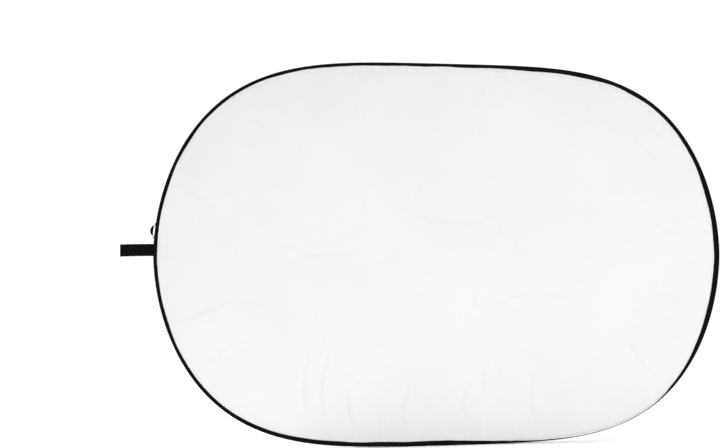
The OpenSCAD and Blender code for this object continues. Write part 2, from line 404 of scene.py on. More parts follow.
def strips(name, cad_name, grid, texture, x, material, outwards=None, shade_and_highlight=None):
    """One object for each strip from a grid over the whole disc, with shading that runs on over the seams.

    x says where the grid's columns stand. outwards is the way that an open sheet faces.
    """
    corners, faces, uvs, places, first = grid_faces(grid, texture)
    whole = mesh_from(name + "_whole", corners, faces, uvs)
    normals = np.zeros(len(corners) * 3, dtype=np.float32)
    whole.vertex_normals.foreach_get("vector", normals)
    normals = normals.reshape(-1, 3)
    bpy.data.meshes.remove(whole)
    out = signed_volume(corners, faces) if outwards is None else float(np.mean(normals @ np.array(outwards)))
    if out < 0:
        faces, uvs = flipped(faces, uvs)
        normals = -normals
    numbers = np.searchsorted(SEAM_X, (x[:-1] + x[1:]) / 2, side="right")[places]
    made = []
    for number, (tag, _) in enumerate(STRIPS):
        mine = numbers == number
        used = np.unique(faces[mine])
        used = used[used >= 0]
        renamed = np.full(len(corners) + 1, -1)
        renamed[used] = np.arange(len(used))
        mesh = mesh_from(f"{name}_{tag}", corners[used], renamed[faces[mine]], uvs[mine], normals[used])
        # the folds' painted highlight and painted shade go on every corner, for the cloth's colour
        if shade_and_highlight is not None:
            marks = mesh.attributes.new("painted_fold_light", "FLOAT", "POINT")
            marks.data.foreach_set("value", shade_and_highlight.reshape(-1)[first][used].astype(np.float32))
        piece = add_object(f"{name}_{tag}", mesh, material)
        join_strip(piece, number, cad_name)
        made.append(piece)
    return made


def end_point(ring):
    return np.repeat(ring.mean(axis=0)[None], len(ring), axis=0)


def end_line(ring):
    """The line halfway between the two sides of a flat ring."""
    middle = (ring[:-1] + ring[-2::-1]) / 2
    return np.concatenate([middle, middle[:1]])


def closed_piece(name, grid, texture, material, slot_name, end=end_point):
    """One closed object from a grid round its section, with each end drawn in to a point or a line."""
    grid = np.concatenate([end(grid[0])[None], grid, end(grid[-1])[None]])
    texture = np.concatenate([texture[:1], texture, texture[-1:]])
    corners, faces, uvs, _, _ = grid_faces(grid, texture)
    if signed_volume(corners, faces) < 0:
        faces, uvs = flipped(faces, uvs)
    piece = add_object(name, mesh_from(name, corners, faces, uvs), material)
    return piece


def round_section(s, across, half, line):
    """A band's grid and flat places: line gives its lines along, over one side and back over the other."""
    rings, uvs = [], []
    for sign in (1, -1):
        for i in range(len(across))[::sign]:
            rings.append(line(sign, i))
            uvs.append(np.stack([s, np.full_like(s, sign * across[i] * half)], axis=1))
    return np.stack(rings + rings[:1], axis=1), np.stack(uvs + uvs[:1], axis=1)


# ---------------------------------------------------------------- node trees and materials


class Nodes:
    """A node tree under construction. A node given as a value stands for its first output."""

    def __init__(self, tree):
        self.tree = tree

    def add(self, kind, values=None, **settings):
        node = self.tree.nodes.new(kind)
        for key, value in settings.items():
            setattr(node, key, value)
        for key, value in (values or {}).items():
            if isinstance(value, bpy.types.Node):
                value = value.outputs[0]
            if isinstance(value, bpy.types.NodeSocket):
                self.tree.links.new(value, node.inputs[key])
            else:
                node.inputs[key].default_value = value
        return node


class Look(Nodes):
    """A material under construction, with a Principled shader."""

    def __init__(self, name, colour, roughness, **sockets):
        self.material = bpy.data.materials.new(name)
        self.material.use_nodes = True
        super().__init__(self.material.node_tree)
        self.shader = self.tree.nodes["Principled BSDF"].inputs
        self.colour = colour
        self.shader["Base Color"].default_value = (*colour, 1)
        self.shader["Roughness"].default_value = roughness
        for socket, value in sockets.items():
            self.shader[socket.replace("_", " ")].default_value = value
        self.material.diffuse_color = (*colour, 1)
        self.under = {}

    def flat(self, scale=(1, 1, 1), turn=0.0):
        """Places on the cloth as it lies flat, in metres."""
        uv = self.add("ShaderNodeUVMap", uv_map="flat")
        return self.add("ShaderNodeMapping", {"Vector": uv, "Rotation": (0, 0, turn), "Scale": scale})

    def own(self):
        """Places on the piece in its own frame, in metres."""
        return self.add("ShaderNodeMapping", {"Vector": self.add("ShaderNodeTexCoord").outputs["Object"]})

    def fold_shading(self):
        """The folds' painted light: above nothing for painted highlight on crests, below it for painted
        shade.
        """
        return self.add("ShaderNodeAttribute", attribute_name="painted_fold_light").outputs["Fac"]

    def noise(self, vector, scale, detail=3.0, roughness=0.55):
        values = {"Vector": vector, "Scale": scale, "Detail": detail, "Roughness": roughness}
        return self.add("ShaderNodeTexNoise", values)

    def bands(self, vector, period, direction="X", distortion=0.0, detail=0.0):
        """Ribs with the given period, in metres."""
        scale = math.pi / (10 * period)
        values = {"Vector": vector, "Scale": scale, "Distortion": distortion, "Detail": detail}
        node = self.add("ShaderNodeTexWave", values, bands_direction=direction)
        return node.outputs["Fac"]

    def math(self, operation, a, b=0.0):
        return self.add("ShaderNodeMath", {0: a, 1: b}, operation=operation)

    def spread(self, value, low, high, to_low=0.0, to_high=1.0):
        values = {"Value": value, "From Min": low, "From Max": high, "To Min": to_low, "To Max": to_high}
        return self.add("ShaderNodeMapRange", values, interpolation_type="SMOOTHSTEP")

    def shade(self, amount):
        return (*(min(1.0, c * amount) for c in self.colour), 1)

    def tint(self, value, low, high, amount, to_low=0.0, to_high=1.0, start=None):
        """Shades the colour by amount as value goes from low to high. start is the first shade."""
        under = self.base if start is None else self.shade(start)
        values = {0: self.spread(value, low, high, to_low, to_high), 6: under, 7: self.shade(amount)}
        self.base = self.add("ShaderNodeMix", values, data_type="RGBA").outputs[2]
        self.tree.links.new(self.base, self.shader["Base Color"])

    def rough(self, value, low, high, smoothest, roughest):
        node = self.spread(value, low, high, smoothest, roughest)
        self.tree.links.new(node.outputs[0], self.shader["Roughness"])

    def bump(self, height, distance, strength):
        """Adds relief, over any that is there already."""
        values = {"Height": height, "Distance": distance, "Strength": strength, **self.under}
        self.under = {"Normal": self.add("ShaderNodeBump", values)}
        self.tree.links.new(self.under["Normal"].outputs[0], self.shader["Normal"])


def plain_weave(m, period):
    """Height of a plain weave: warp and weft pass over each other turn by turn."""
    warp = m.bands(m.flat(), period, "X")
    weft = m.bands(m.flat(), period, "Y")
    over = m.bands(m.flat((1, 1, 1), math.pi / 4), period * math.sqrt(2), "X")
    under = m.math("SUBTRACT", 1.0, over)
    return m.math("ADD", m.math("MULTIPLY", warp, over), m.math("MULTIPLY", weft, under))


@cache
def white_cloth():
    m = Look(
        "white_cloth", colours().white, 0.62, Sheen_Weight=0.12, Sheen_Roughness=0.45, Specular_IOR_Level=0.35
    )
    fine = m.noise(m.flat(), 38.0, 4.0)
    weave = plain_weave(m, 0.55 * MM)
    m.tint(m.noise(m.flat(), 3.0, 3.0), 0.35, 0.7, 1.012, start=0.985)
    m.tint(fine, 0.62, 0.85, 0.972)
    m.tint(weave, 0.0, 0.25, 0.9, 0.16, 0.0)
    # painted shade in the folds' troughs
    m.tint(m.fold_shading(), -0.5, -0.02, 0.88, 0.25, 0.0)
    m.rough(fine, 0.3, 0.8, 0.56, 0.68)
    m.bump(m.noise(m.flat(), 120.0, 5.0, 0.6), 0.25 * MM, 0.5)
    m.bump(weave, 0.07 * MM, 0.5)
    return m.material


@cache
def grey_cloth():
    m = Look(
        "grey_cloth", colours().grey, 0.45, Sheen_Weight=0.1, Sheen_Roughness=0.35, Specular_IOR_Level=0.5
    )
    fine = m.noise(m.flat(), 60.0, 5.0)
    weave = plain_weave(m, 0.5 * MM)
    m.tint(m.noise(m.flat(), 4.0, 4.0), 0.3, 0.72, 1.06, start=0.93)
    m.tint(fine, 0.58, 0.85, 1.12)
    m.tint(weave, 0.0, 0.3, 0.72, 0.35, 0.0)
    # painted highlight on the folds' crests
    m.tint(m.fold_shading(), 0.05, 0.6, 1.5, 0.0, 0.45)
    # painted shade in the folds' troughs
    m.tint(m.fold_shading(), -0.9, -0.05, 0.3, 0.62, 0.0)
    m.rough(fine, 0.25, 0.8, 0.45, 0.6)
    m.bump(m.noise(m.flat(), 90.0, 6.0, 0.6), 0.5 * MM, 0.5)
    m.bump(weave, 0.07 * MM, 0.5)
    return m.material


@cache
def binding_tape():
    m = Look(
        "binding_tape", colours().tape, 0.8, Sheen_Weight=0.01, Sheen_Roughness=0.5, Specular_IOR_Level=0.07
    )
    ribs = m.bands(m.flat(), 0.75 * MM, "X", 1.2, 1.0)
    picks = m.bands(m.flat(), 0.5 * MM, "Y")
    wear = m.noise(m.flat((1, 3, 1)), 45.0, 5.0, 0.65)
    m.tint(ribs, 0.1, 0.9, 1.5, start=0.55)
    m.tint(wear, 0.58, 0.8, 3.0, 0.0, 0.6)
    m.tint(m.noise(m.flat(), 9.0, 3.0), 0.5, 0.8, 2.4, 0.0, 0.35)
    m.rough(wear, 0.3, 0.8, 0.72, 0.88)
    m.bump(m.math("ADD", ribs, m.math("MULTIPLY", picks, 0.35)), 0.14 * MM, 0.8)
    return m.material


@cache
def strap_webbing():
    m = Look(
        "strap_webbing", colours().webbing, 0.72,
        Sheen_Weight=0.01, Sheen_Roughness=0.4, Specular_IOR_Level=0.07,
    )
    picks = m.bands(m.flat(), 0.9 * MM, "X", 0.6, 1.0)
    twill = m.bands(m.flat((1, 1, 1), 0.6), 0.6 * MM, "X")
    wear = m.noise(m.flat((1, 2, 1)), 90.0, 5.0, 0.65)
    m.tint(picks, 0.1, 0.9, 1.5, start=0.5)
    m.tint(wear, 0.6, 0.82, 3.5, 0.0, 0.5)
    m.rough(wear, 0.3, 0.8, 0.62, 0.82)
    m.bump(m.math("ADD", picks, m.math("MULTIPLY", twill, 0.5)), 0.12 * MM, 0.9)
    return m.material


@cache
def sewing_thread():
    m = Look("sewing_thread", colours().thread, 0.55, Sheen_Weight=0.03, Specular_IOR_Level=0.2)
    ply = m.bands(m.own(), 0.45 * MM, "DIAGONAL")
    m.tint(ply, 0.1, 0.9, 1.6, start=0.6)
    m.bump(ply, 0.08 * MM, 0.6)
    return m.material


@cache
def hook_plastic():
    m = Look("hook_plastic", colours().hooks, 0.42, Specular_IOR_Level=0.45)
    grime = m.noise(m.own(), 220.0, 4.0)
    m.tint(grime, 0.4, 0.75, 1.3, start=0.8)
    m.rough(grime, 0.3, 0.8, 0.36, 0.55)
    m.bump(grime, 0.08 * MM, 0.5)
    return m.material


@cache
def loop_pile():
    m = Look(
        "loop_pile", colours().webbing, 0.92, Sheen_Weight=0.06, Sheen_Roughness=0.6, Specular_IOR_Level=0.1
    )
    fuzz = m.noise(m.flat(), 1500.0, 6.0, 0.7)
    m.tint(fuzz, 0.35, 0.75, 2.6, start=0.8)
    m.bump(m.math("ADD", fuzz, m.noise(m.flat(), 420.0, 3.0, 0.6)), 0.5 * MM, 0.9)
    return m.material


@cache
def spring_steel():
    m = Look("spring_steel", colours().steel, 0.32, Metallic=1.0)
    grain = m.noise(m.flat((6, 300, 1)), 8.0, 4.0)
    m.tint(grain, 0.3, 0.75, 1.15, start=0.8)
    m.rough(grain, 0.3, 0.75, 0.26, 0.42)
    m.bump(grain, 0.03 * MM, 0.5)
    return m.material


def zinc(name):
    m = Look(name, (0.58, 0.59, 0.61), 0.38, Metallic=1.0)
    cloud = m.noise(m.own(), 260.0, 4.0)
    m.tint(cloud, 0.35, 0.7, 1.1, start=0.82)
    m.rough(cloud, 0.3, 0.75, 0.3, 0.5)
    m.bump(cloud, 0.04 * MM, 0.4)
    return m.material


def shrink_tube(name):
    m = Look(name, (0.016, 0.016, 0.017), 0.55, Specular_IOR_Level=0.4)
    cloud = m.noise(m.own(), 320.0, 4.0)
    m.tint(cloud, 0.35, 0.7, 1.5, start=0.8)
    m.bump(cloud, 0.1 * MM, 0.4)
    return m.material


# ---------------------------------------------------------------- folds in the cloth


def smooth_path(points, count=26):
    """Points on a smooth line through a few hand-set ones."""
    p = np.array(points, float)
    if len(p) == 2:
        return p[0] + (p[1] - p[0]) * np.linspace(0, 1, count)[:, None]
    out = []
    spans = len(p) - 1
    each = max(2, count // spans)
    for i in range(spans):
        a, b = p[i], p[i + 1]
        before = p[i - 1] if i > 0 else 2 * a - b
        after = p[i + 2] if i + 2 < len(p) else 2 * b - a
        for t in np.linspace(0, 1, each, endpoint=False):
            out.append(
                0.5 * (2 * a + (b - before) * t + (2 * before - 5 * a + 4 * b - after) * t * t
                       + (3 * a - before - 3 * b + after) * t**3)
            )
    out.append(p[-1])
    return np.array(out)


def press_fold(height, shade_and_highlight, x, z, points, depth, width, sharp=0.35, lean=0.35):
    """Adds one fold along a line to the height of the cloth: a crest with a shallow trough on one side.

    sharp is the width of the crest's round top as a share of the fold's; lean is the trough's share. The
    fold also paints a highlight along the crest and shade along the trough into the cloth's colour.
    """
    line = smooth_path(points, 40)
    span = np.linspace(0, 1, len(line))
    stray = np.random.default_rng(int(abs(points[0][0] * 7919 + points[0][1] * 104729) * 1000))
    wander = sum(
        np.sin(math.pi * (turns * span + stray.uniform(0, 2))) * stray.normal(0, 0.32 / turns**0.6)
        for turns in (3, 5, 8, 13)
    )
    away = np.gradient(line, axis=0)
    away = np.stack([-away[:, 1], away[:, 0]], axis=1) / (np.hypot(away[:, 0], away[:, 1])[:, None] + 1e-12)
    line = line + away * (wander * width * np.sin(math.pi * span) ** 0.5)[:, None]
    reach = 4.5 * width
    low, high = line.min(0) - reach, line.max(0) + reach
    near = (x > low[0]) & (x < high[0]) & (z > low[1]) & (z < high[1])
    if not near.any():
        return
    px, pz = x[near], z[near]
    steps = np.diff(line, axis=0)
    lengths = np.hypot(steps[:, 0], steps[:, 1])
    run = np.concatenate([[0], np.cumsum(lengths)])
    best = np.full(px.shape, 1e9)
    side = np.zeros(px.shape)
    at = np.zeros(px.shape)
    for i in range(len(steps)):
        dx, dz = steps[i]
        t = np.clip(((px - line[i, 0]) * dx + (pz - line[i, 1]) * dz) / (lengths[i] ** 2 + 1e-12), 0, 1)
        ox, oz = px - line[i, 0] - t * dx, pz - line[i, 1] - t * dz
        d = np.hypot(ox, oz)
        closer = d < best
        best = np.where(closer, d, best)
        side = np.where(closer, np.sign(dx * oz - dz * ox), side)
        at = np.where(closer, run[i] + t * lengths[i], at)
    share = at / run[-1]
    taper = np.power(np.clip(np.sin(math.pi * np.clip(share, 0, 1)), 0, 1), 0.7)
    grow = 0.55 + 0.45 * taper
    a = best / (width * grow)
    crest = np.exp(-(np.sqrt(a * a + sharp * sharp) - sharp) * 1.25)
    signed = a * side
    trough = lean * np.exp(-((signed - 1.7) ** 2) / 0.8)
    height[near] += depth * taper * (crest - trough)
    strength = np.clip(abs(depth) / (2.5 * MM), 0.1, 1.2) * taper
    sign = 1 if depth > 0 else -1
    # a line finer than the mesh would break up into beads, so a thin one is made wider and fainter
    narrow = max(0.16, (2.9 * MM / width) ** 2)
    # painted highlight along the crest; painted shade along the trough and, fainter, on the crest's other
    # side
    painted_highlight = np.exp(-((signed + 0.1) ** 2) / max(0.22, narrow))
    painted_shade = np.exp(-((signed - 0.95) ** 2) / narrow) * (0.16 / narrow) ** 0.35
    painted_shade += 0.35 * np.exp(-((signed + 1.2) ** 2) / max(0.5, narrow))
    shade_and_highlight[near] += strength * sign * (0.5 * painted_highlight - painted_shade)


# Folds of the grey face: points (x, height from the disc's middle line), depth and width, in mm.
GREY_FOLDS = [
    ([(-735, -15), (-663, -54), (-589, -94), (-537, -120), (-464, -154), (-377, -220)], 4.6, 15),
    ([(-735, -62), (-682, -101), (-649, -120)], 2.4, 8),
    ([(-740, 4), (-682, -5), (-643, -38), (-583, -44)], 3.2, 9),
    ([(-649, -18), (-583, -44), (-517, -51)], 1.5, 6),
    ([(-510, -1), (-391, -5)], 1.6, 6),
    ([(-696, 39), (-563, 37), (-404, 42), (-330, 50)], 1.8, 6),
    ([(-735, 112), (-629, 128), (-523, 141), (-450, 138)], 2.4, 8),
    ([(-700, 224), (-590, 214), (-490, 194), (-418, 204)], 2.6, 8),
    ([(-695, 257), (-603, 237), (-497, 234)], 1.9, 8),
    ([(-560, 245), (-530, 212)], 1.8, 6),
    ([(-562, 184), (-540, 214), (-505, 226)], 1.7, 6),
    ([(-541, 176), (-538, 206)], 1.6, 6),
    ([(-663, 277), (-563, 284), (-417, 270)], 1.8, 7),
    ([(-629, 310), (-530, 317), (-404, 314)], 1.7, 8),
    ([(-590, 366), (-497, 350), (-470, 330)], 2.1, 9),
    ([(-543, 383), (-404, 393), (-300, 385)], 1.9, 8),
    ([(-500, 420), (-391, 440), (-280, 436)], 2.0, 10),
    ([(-580, -372), (-588, -246), (-593, -134)], 2.3, 8),
    ([(-578, -359), (-566, -246), (-551, -140)], 2.4, 8),
    ([(-679, -240), (-686, -180), (-689, -114)], 2.2, 11),
    ([(-384, -352), (-401, -318), (-371, -233), (-338, -120)], 2.8, 7),
    ([(-416, -344), (-392, -300)], 1.7, 7),
    ([(-338, -260), (-272, -293), (-298, -313), (-252, -352)], 1.8, 7),
    ([(-378, -418), (-298, -452), (-240, -470)], 3.6, 14),
    ([(-430, -370), (-350, -398), (-300, -418)], 2.0, 14),
    ([(-262, -409), (-194, -386), (-92, -328), (-30, -290)], 2.4, 8),
    ([(-255, -376), (-160, -308), (-90, -250)], 1.9, 8),
    ([(-147, -464), (-105, -416), (-58, -331), (-30, -250)], 3.0, 9),
    ([(-65, -430), (-3, -403), (78, -355), (130, -300)], 2.6, 8),
    ([(-58, -466), (10, -461), (71, -450)], 2.2, 7),
    ([(51, -423), (78, -447), (139, -437), (194, -430)], 2.4, 7),
    ([(146, -447), (220, -440), (282, -423)], 2.2, 7),
    ([(153, -416), (200, -410), (248, -396)], 2.0, 8),
    ([(166, -476), (240, -468), (316, -446)], 2.2, 7),
    ([(270, -335), (322, -372), (360, -389), (336, -409)], 4.2, 10),
    ([(330, -340), (397, -372), (425, -409), (479, -409)], 4.6, 10),
    ([(384, -450), (445, -438)], 2.4, 7),
    ([(452, -430), (466, -405)], 1.8, 6),
    ([(700, 60), (610, 20), (500, -60), (390, -110)], 4.0, 14),
    ([(715, -60), (640, -80), (560, -130)], 2.8, 9),
    ([(720, 130), (620, 120), (480, 150)], 2.4, 8),
    ([(600, 330), (540, 260), (500, 150)], 2.6, 9),
    ([(420, 420), (400, 330), (350, 250), (340, 150)], 2.8, 8),
    ([(560, -300), (500, -240), (380, -210)], 2.6, 9),
    ([(-300, 60), (-180, 20), (-60, 40)], 2.2, 9),
    ([(-220, 300), (-140, 200), (-110, 90)], 2.6, 9),
    ([(30, 460), (50, 350), (10, 250), (40, 140)], 2.7, 9),
    ([(180, 440), (230, 330), (220, 230)], 2.4, 8),
    ([(-120, -150), (0, -110), (140, -130), (240, -190)], 2.8, 11),
    ([(80, 60), (190, 30), (300, 60)], 2.0, 9),
    ([(-260, -180), (-200, -80), (-210, 20)], 2.2, 9),
    ([(-572, 50), (-568, 190), (-571, 330)], -0.9, 4),
    ([(-492, 40), (-489, 180), (-491, 330)], -0.9, 4),
    ([(-50, 470), (-90, 400), (-180, 370)], 2.4, 9),
]

# Folds of the white face: it is pulled flatter, so they are long, wide and low.
WHITE_FOLDS = [
    ([(-700, 170), (-620, 120), (-560, 90)], 0.7, 12),
    ([(-690, -180), (-600, -150), (-520, -100)], 0.8, 13),
    ([(-360, -420), (-365, -330), (-350, -240)], 0.9, 11),
    ([(-310, -440), (-320, -350), (-300, -220)], 0.8, 10),
    ([(-240, -450), (-250, -370), (-240, -300)], 0.7, 11),
    ([(-100, -460), (-110, -400), (-90, -330)], 0.7, 12),
    ([(60, -460), (50, -390), (70, -310)], 0.7, 12),
    ([(250, -450), (230, -380), (240, -300)], 0.7, 12),
    ([(400, 400), (480, 320), (560, 250), (640, 210)], 1.0, 14),
    ([(340, 420), (400, 350), (440, 290)], 0.8, 12),
    ([(520, 360), (590, 300), (650, 270)], 0.8, 12),
    ([(700, 50), (620, 60), (540, 100)], 0.7, 12),
    ([(690, -130), (620, -110), (560, -90)], 0.7, 12),
    ([(570, -330), (520, -270), (490, -210)], 0.7, 12),
    ([(-540, 340), (-470, 300), (-420, 240)], 0.7, 14),
    ([(-250, 450), (-230, 370), (-240, 300)], 0.6, 12),
    ([(80, 470), (90, 400), (80, 330)], 0.6, 12),
    ([(-150, 100), (20, 60), (180, 90)], 0.7, 24),
    ([(100, -160), (240, -120), (360, -140)], 0.7, 22),
    ([(-480, 20), (-330, -20), (-220, -10)], 0.7, 22),
    ([(-620, -290), (-560, -240), (-500, -220)], 0.7, 12),
]


def scatter_folds(height, shade_and_highlight, x, z, count, seed, deepest, width):
    """More folds at random: those near the rim run towards the middle, and the rest run anyhow."""
    rng = np.random.default_rng(seed)
    for _ in range(count):
        turn = rng.uniform(0, 2 * math.pi)
        far = math.sqrt(rng.uniform(0.02, 0.92))
        cx = far * HALF_L * math.cos(turn)
        cz = far * float(rise(np.array(cx))) * math.sin(turn)
        way = math.atan2(cz / HALF_H, cx / HALF_L) if far > 0.7 else rng.uniform(0, math.pi)
        way += rng.normal(0, 0.35)
        half = rng.uniform(0.025, 0.095)
        bow = rng.normal(0, 0.18) * half
        dx, dz = math.cos(way), math.sin(way)
        points = [
            (cx - half * dx, cz - half * dz),
            (cx - bow * dz, cz + bow * dx),
            (cx + half * dx, cz + half * dz),
        ]
        deep, wide = deepest * rng.uniform(0.3, 1.0), width * rng.uniform(0.7, 1.5)
        press_fold(height, shade_and_highlight, x, z, points, deep, wide, 0.35, rng.uniform(0.1, 0.5))


def settle_cloth():
    """Lets a cloth a little too large for the hoop settle, and gives its grid and how far it stands out.

    The cloth is held all round at the seam. Its slack turns into folds, as it does in the sewn disc.
    """
    size = sizes()
    inset = 11 * MM
    xs = np.linspace(-HALF_L + inset, HALF_L - inset, int(2 * HALF_L / size.settle_step))
    share = np.linspace(-1, 1, int(2 * HALF_H / size.settle_step))
    top = rise(xs) - inset
    x = np.repeat(xs[:, None], len(share), axis=1)
    z = top[:, None] * share[None]
    corners = np.stack([x, 0.3 * MM * waves(x, z, 0.09, 91, 40), z], axis=2).reshape(-1, 3)
    index = np.arange(x.size).reshape(x.shape)
    faces = np.stack([index[:-1, :-1], index[1:, :-1], index[1:, 1:], index[:-1, 1:]], axis=2).reshape(-1, 4)
    mesh = bpy.data.meshes.new("settling")
    mesh.from_pydata(corners.tolist(), [], faces.tolist())
    cloth = add_object("settling", mesh)
    held = np.ones(x.shape, bool)
    held[1:-1, 1:-1] = False
    cloth.vertex_groups.new(name="held").add(np.flatnonzero(held.reshape(-1)).tolist(), 1.0, "REPLACE")
    modifier = cloth.modifiers.new("cloth", "CLOTH")
    settings = modifier.settings
    settings.vertex_group_mass = "held"
    settings.quality = 6
    settings.mass = 0.15
    settings.tension_stiffness = settings.compression_stiffness = 15
    settings.shear_stiffness = 5
    settings.bending_stiffness = 1.5
    settings.air_damping = 3
    settings.shrink_min = -size.settle_slack
    settings.effector_weights.gravity = 0.015
    modifier.collision_settings.use_collision = False
    frames = 22
    modifier.point_cache.frame_end = frames + 1
    scene = bpy.context.scene
    for number in range(1, frames + 1):
        scene.frame_set(number)
    shown = cloth.evaluated_get(bpy.context.evaluated_depsgraph_get()).data
    places = np.empty(len(shown.vertices) * 3, dtype=np.float32)
    shown.vertices.foreach_get("co", places)
    height = places.reshape(-1, 3)[:, 1].reshape(x.shape).astype(float)
    bpy.data.objects.remove(cloth)
    bpy.data.meshes.remove(mesh)
    scene.frame_set(1)
    return xs, share, top, height


def settled_height(x, z):
    """The settled cloth's height at points of the disc, smoothed from its coarse grid."""
    xs, share, top, height = settle_cloth()
    u = np.clip((x - xs[0]) / (xs[1] - xs[0]), 0, len(xs) - 1.001)
    reach = np.maximum(np.interp(x, xs, top), 1 * MM)
    v = np.clip((z / reach + 1) / (share[1] - share[0]), 0, len(share) - 1.001)

    def spline(t):
        parts = (1 - t) ** 3, 3 * t**3 - 6 * t**2 + 4, -3 * t**3 + 3 * t**2 + 3 * t + 1, t**3
        return zip((-1, 0, 1, 2), parts)

    iu, iv = u.astype(int), v.astype(int)
    total = np.zeros_like(x)
    for du, wu in spline(u - iu):
        for dv, wv in spline(v - iv):
            at_u = np.clip(iu + du, 0, len(xs) - 1)
            at_v = np.clip(iv + dv, 0, len(share) - 1)
            total += wu * wv / 36 * height[at_u, at_v]
    return total


def rim_puckers(s, r, seed, depth):
    """Radial gathers where the cloth is sewn to the hoop. They die out inwards."""
    gather = along_waves(s, 0.028, seed) + 0.7 * along_waves(s, 0.015, seed + 1)
    strength = smooth_step(0.5 + 0.5 * along_waves(s, 0.22, seed + 2))
    reach = np.clip((26 + 14 * along_waves(s, 0.3, seed + 3)) * MM, 10 * MM, 60 * MM)
    fade = 1 - smooth_step((r - 40 * MM) / (70 * MM))
    return depth * gather * strength * fade * np.exp(-np.maximum(0, r - 10 * MM) / reach)


def white_height(x, z, s, r):
    """How far the white cloth stands out past its rest place."""
    h, shade_and_highlight = np.zeros_like(x), np.zeros_like(x)
    for points, depth, width in WHITE_FOLDS:
        press_fold(h, shade_and_highlight, x, z, np.array(points) / 1000, depth * MM * 1.6, width * MM * 0.8, 0.6, 0.3)
    scatter_folds(h, shade_and_highlight, x, z, 90, 11, 0.7 * MM, 10 * MM)
    h += 0.55 * MM * waves(x, z, 0.30, 12) + 0.16 * MM * waves(x, z, 0.09, 13)
    h += rim_puckers(s, r, 14, 0.30 * MM)
    h *= sizes().white_slack
    full = 2.6 * MM * smooth_step((r - 12 * MM) / (90 * MM))
    return full + soft_max(h * smooth_step((r - 8 * MM) / (16 * MM)), -0.7 * full, 0.3 * MM), shade_and_highlight


def ripples(x, z):
    """Fine crosswise ripples where the grey cloth was folded small, strongest by the left end's top."""
    fine = waves(x, z, 0.024, 26, 16, math.pi / 2, 0.7)
    patch = smooth_step(0.5 + 0.9 * waves(x, z, 0.22, 27, 8))
    corner = smooth_step((0.26 - np.hypot((x + 0.52) / 1.1, (z - 0.32) / 0.75)) / 0.16)
    return fine * (0.12 * patch + 0.5 * corner) * MM


def grey_height(x, z, s, r):
    """How far the grey cloth stands out past its rest place. It hangs slacker than the white."""
    h, shade_and_highlight = settled_height(x, z), np.zeros_like(x)
    for points, depth, width in GREY_FOLDS:
        press_fold(h, shade_and_highlight, x, z, np.array(points) / 1000, depth * MM * 1.35, width * MM * 0.66, 0.28, 0.5)
    scatter_folds(h, shade_and_highlight, x, z, 220, 21, 1.5 * MM, 4.6 * MM)
    h += 0.8 * MM * waves(x, z, 0.26, 23) + 0.22 * MM * waves(x, z, 0.06, 24)
    h += ripples(x, z)
    h += rim_puckers(s, r, 25, 0.55 * MM)
    h *= sizes().grey_slack
    full = 5.8 * MM * smooth_step((r - 10 * MM) / (60 * MM))
    return full + soft_max(h * smooth_step((r - 8 * MM) / (14 * MM)), -0.75 * full, 0.4 * MM), shade_and_highlight


# ---------------------------------------------------------------- pieces made over the whole disc


def depth_and_run(x, z, line_x, line_z, run, perimeter):
    """Depth inside the outline and place round it, for points inside: from the outline's nearest point."""
    depth, place = np.empty_like(x), np.empty_like(x)
    for i in range(x.shape[0]):
        px, pz = x[i], np.abs(z[i])
        near = ((px[:, None] - line_x) ** 2 + (pz[:, None] - line_z) ** 2).argmin(axis=1)
        best = np.full(px.shape, 1e9)
        at = np.zeros(px.shape)
        for step in (-1, 0):
            low = np.clip(near + step, 0, len(line_x) - 2)
            dx, dz = line_x[low + 1] - line_x[low], line_z[low + 1] - line_z[low]
            t = ((px - line_x[low]) * dx + (pz - line_z[low]) * dz) / (dx * dx + dz * dz)
            t = np.clip(t, 0, 1)
            d = np.hypot(px - line_x[low] - t * dx, pz - line_z[low] - t * dz)
            closer = d < best
            best = np.where(closer, d, best)
            at = np.where(closer, run[low] + t * (run[low + 1] - run[low]), at)
        depth[i] = best
        place[i] = np.where(z[i] >= 0, at, perimeter - at)
    return np.maximum(depth, FIELD_R), place


# Depths in mm of the cloth's rows under the tape, from the sleeve inwards.
LAP_ROWS = [0.7, 1.0, 1.4, 2.0, 2.8, 3.8, 4.8, 5.6, 6.2, 6.8, 7.6, 8.8, 10.4, 12.2, 14.0]


def face_grid(side, height):
    """Grid of one face over the whole disc, from the sleeve on one long edge to the other."""
    size = sizes()
    cols = columns(size.column_step, size.wing_columns)
    top = rise(cols)
    nx, nz = outward(cols, np.maximum(top, 1e-9))
    run = run_along(cols, top)
    perimeter = 2 * run[-1]
    depths = np.array(LAP_ROWS) * MM
    out_x, out_z = cols - depths[:, None] * nx, top - depths[:, None] * nz
    share = np.linspace(-1, 1, size.rows)[1:-1, None]
    xs = np.concatenate([out_x, np.repeat(out_x[-1:], len(share), axis=0), out_x[::-1]]).T
    zs = np.concatenate([-out_z, out_z[-1] * share, out_z[::-1]]).T
    # depth from the outline and place round it: known at the laps, and looked up between them
    low, high = slice(None, len(depths)), slice(-len(depths), None)
    between = slice(len(depths), -len(depths))
    rs, ss = np.zeros_like(xs), np.zeros_like(xs)
    rs[:, low], rs[:, high] = depths, depths[::-1]
    ss[:, low], ss[:, high] = (perimeter - run)[:, None], run[:, None]
    rs[:, between], ss[:, between] = depth_and_run(
        xs[:, between], zs[:, between], cols[::3], top[::3], run[::3], perimeter
    )
    raised, shade_and_highlight = height(xs, zs, ss, rs)
    drawn = np.where(rs > SLEEVE_DEPTH, pucker(ss), 0) * (1 - smooth_step((rs - 10 * MM) / (30 * MM)))
    out = -soft_max(-(cloth_rest(rs) + drawn + raised), -HEIGHT_LIMIT, 2 * MM)
    return np.stack([xs, side * out, zs + HALF_H], axis=2), np.stack([xs, zs], axis=2), cols, shade_and_highlight


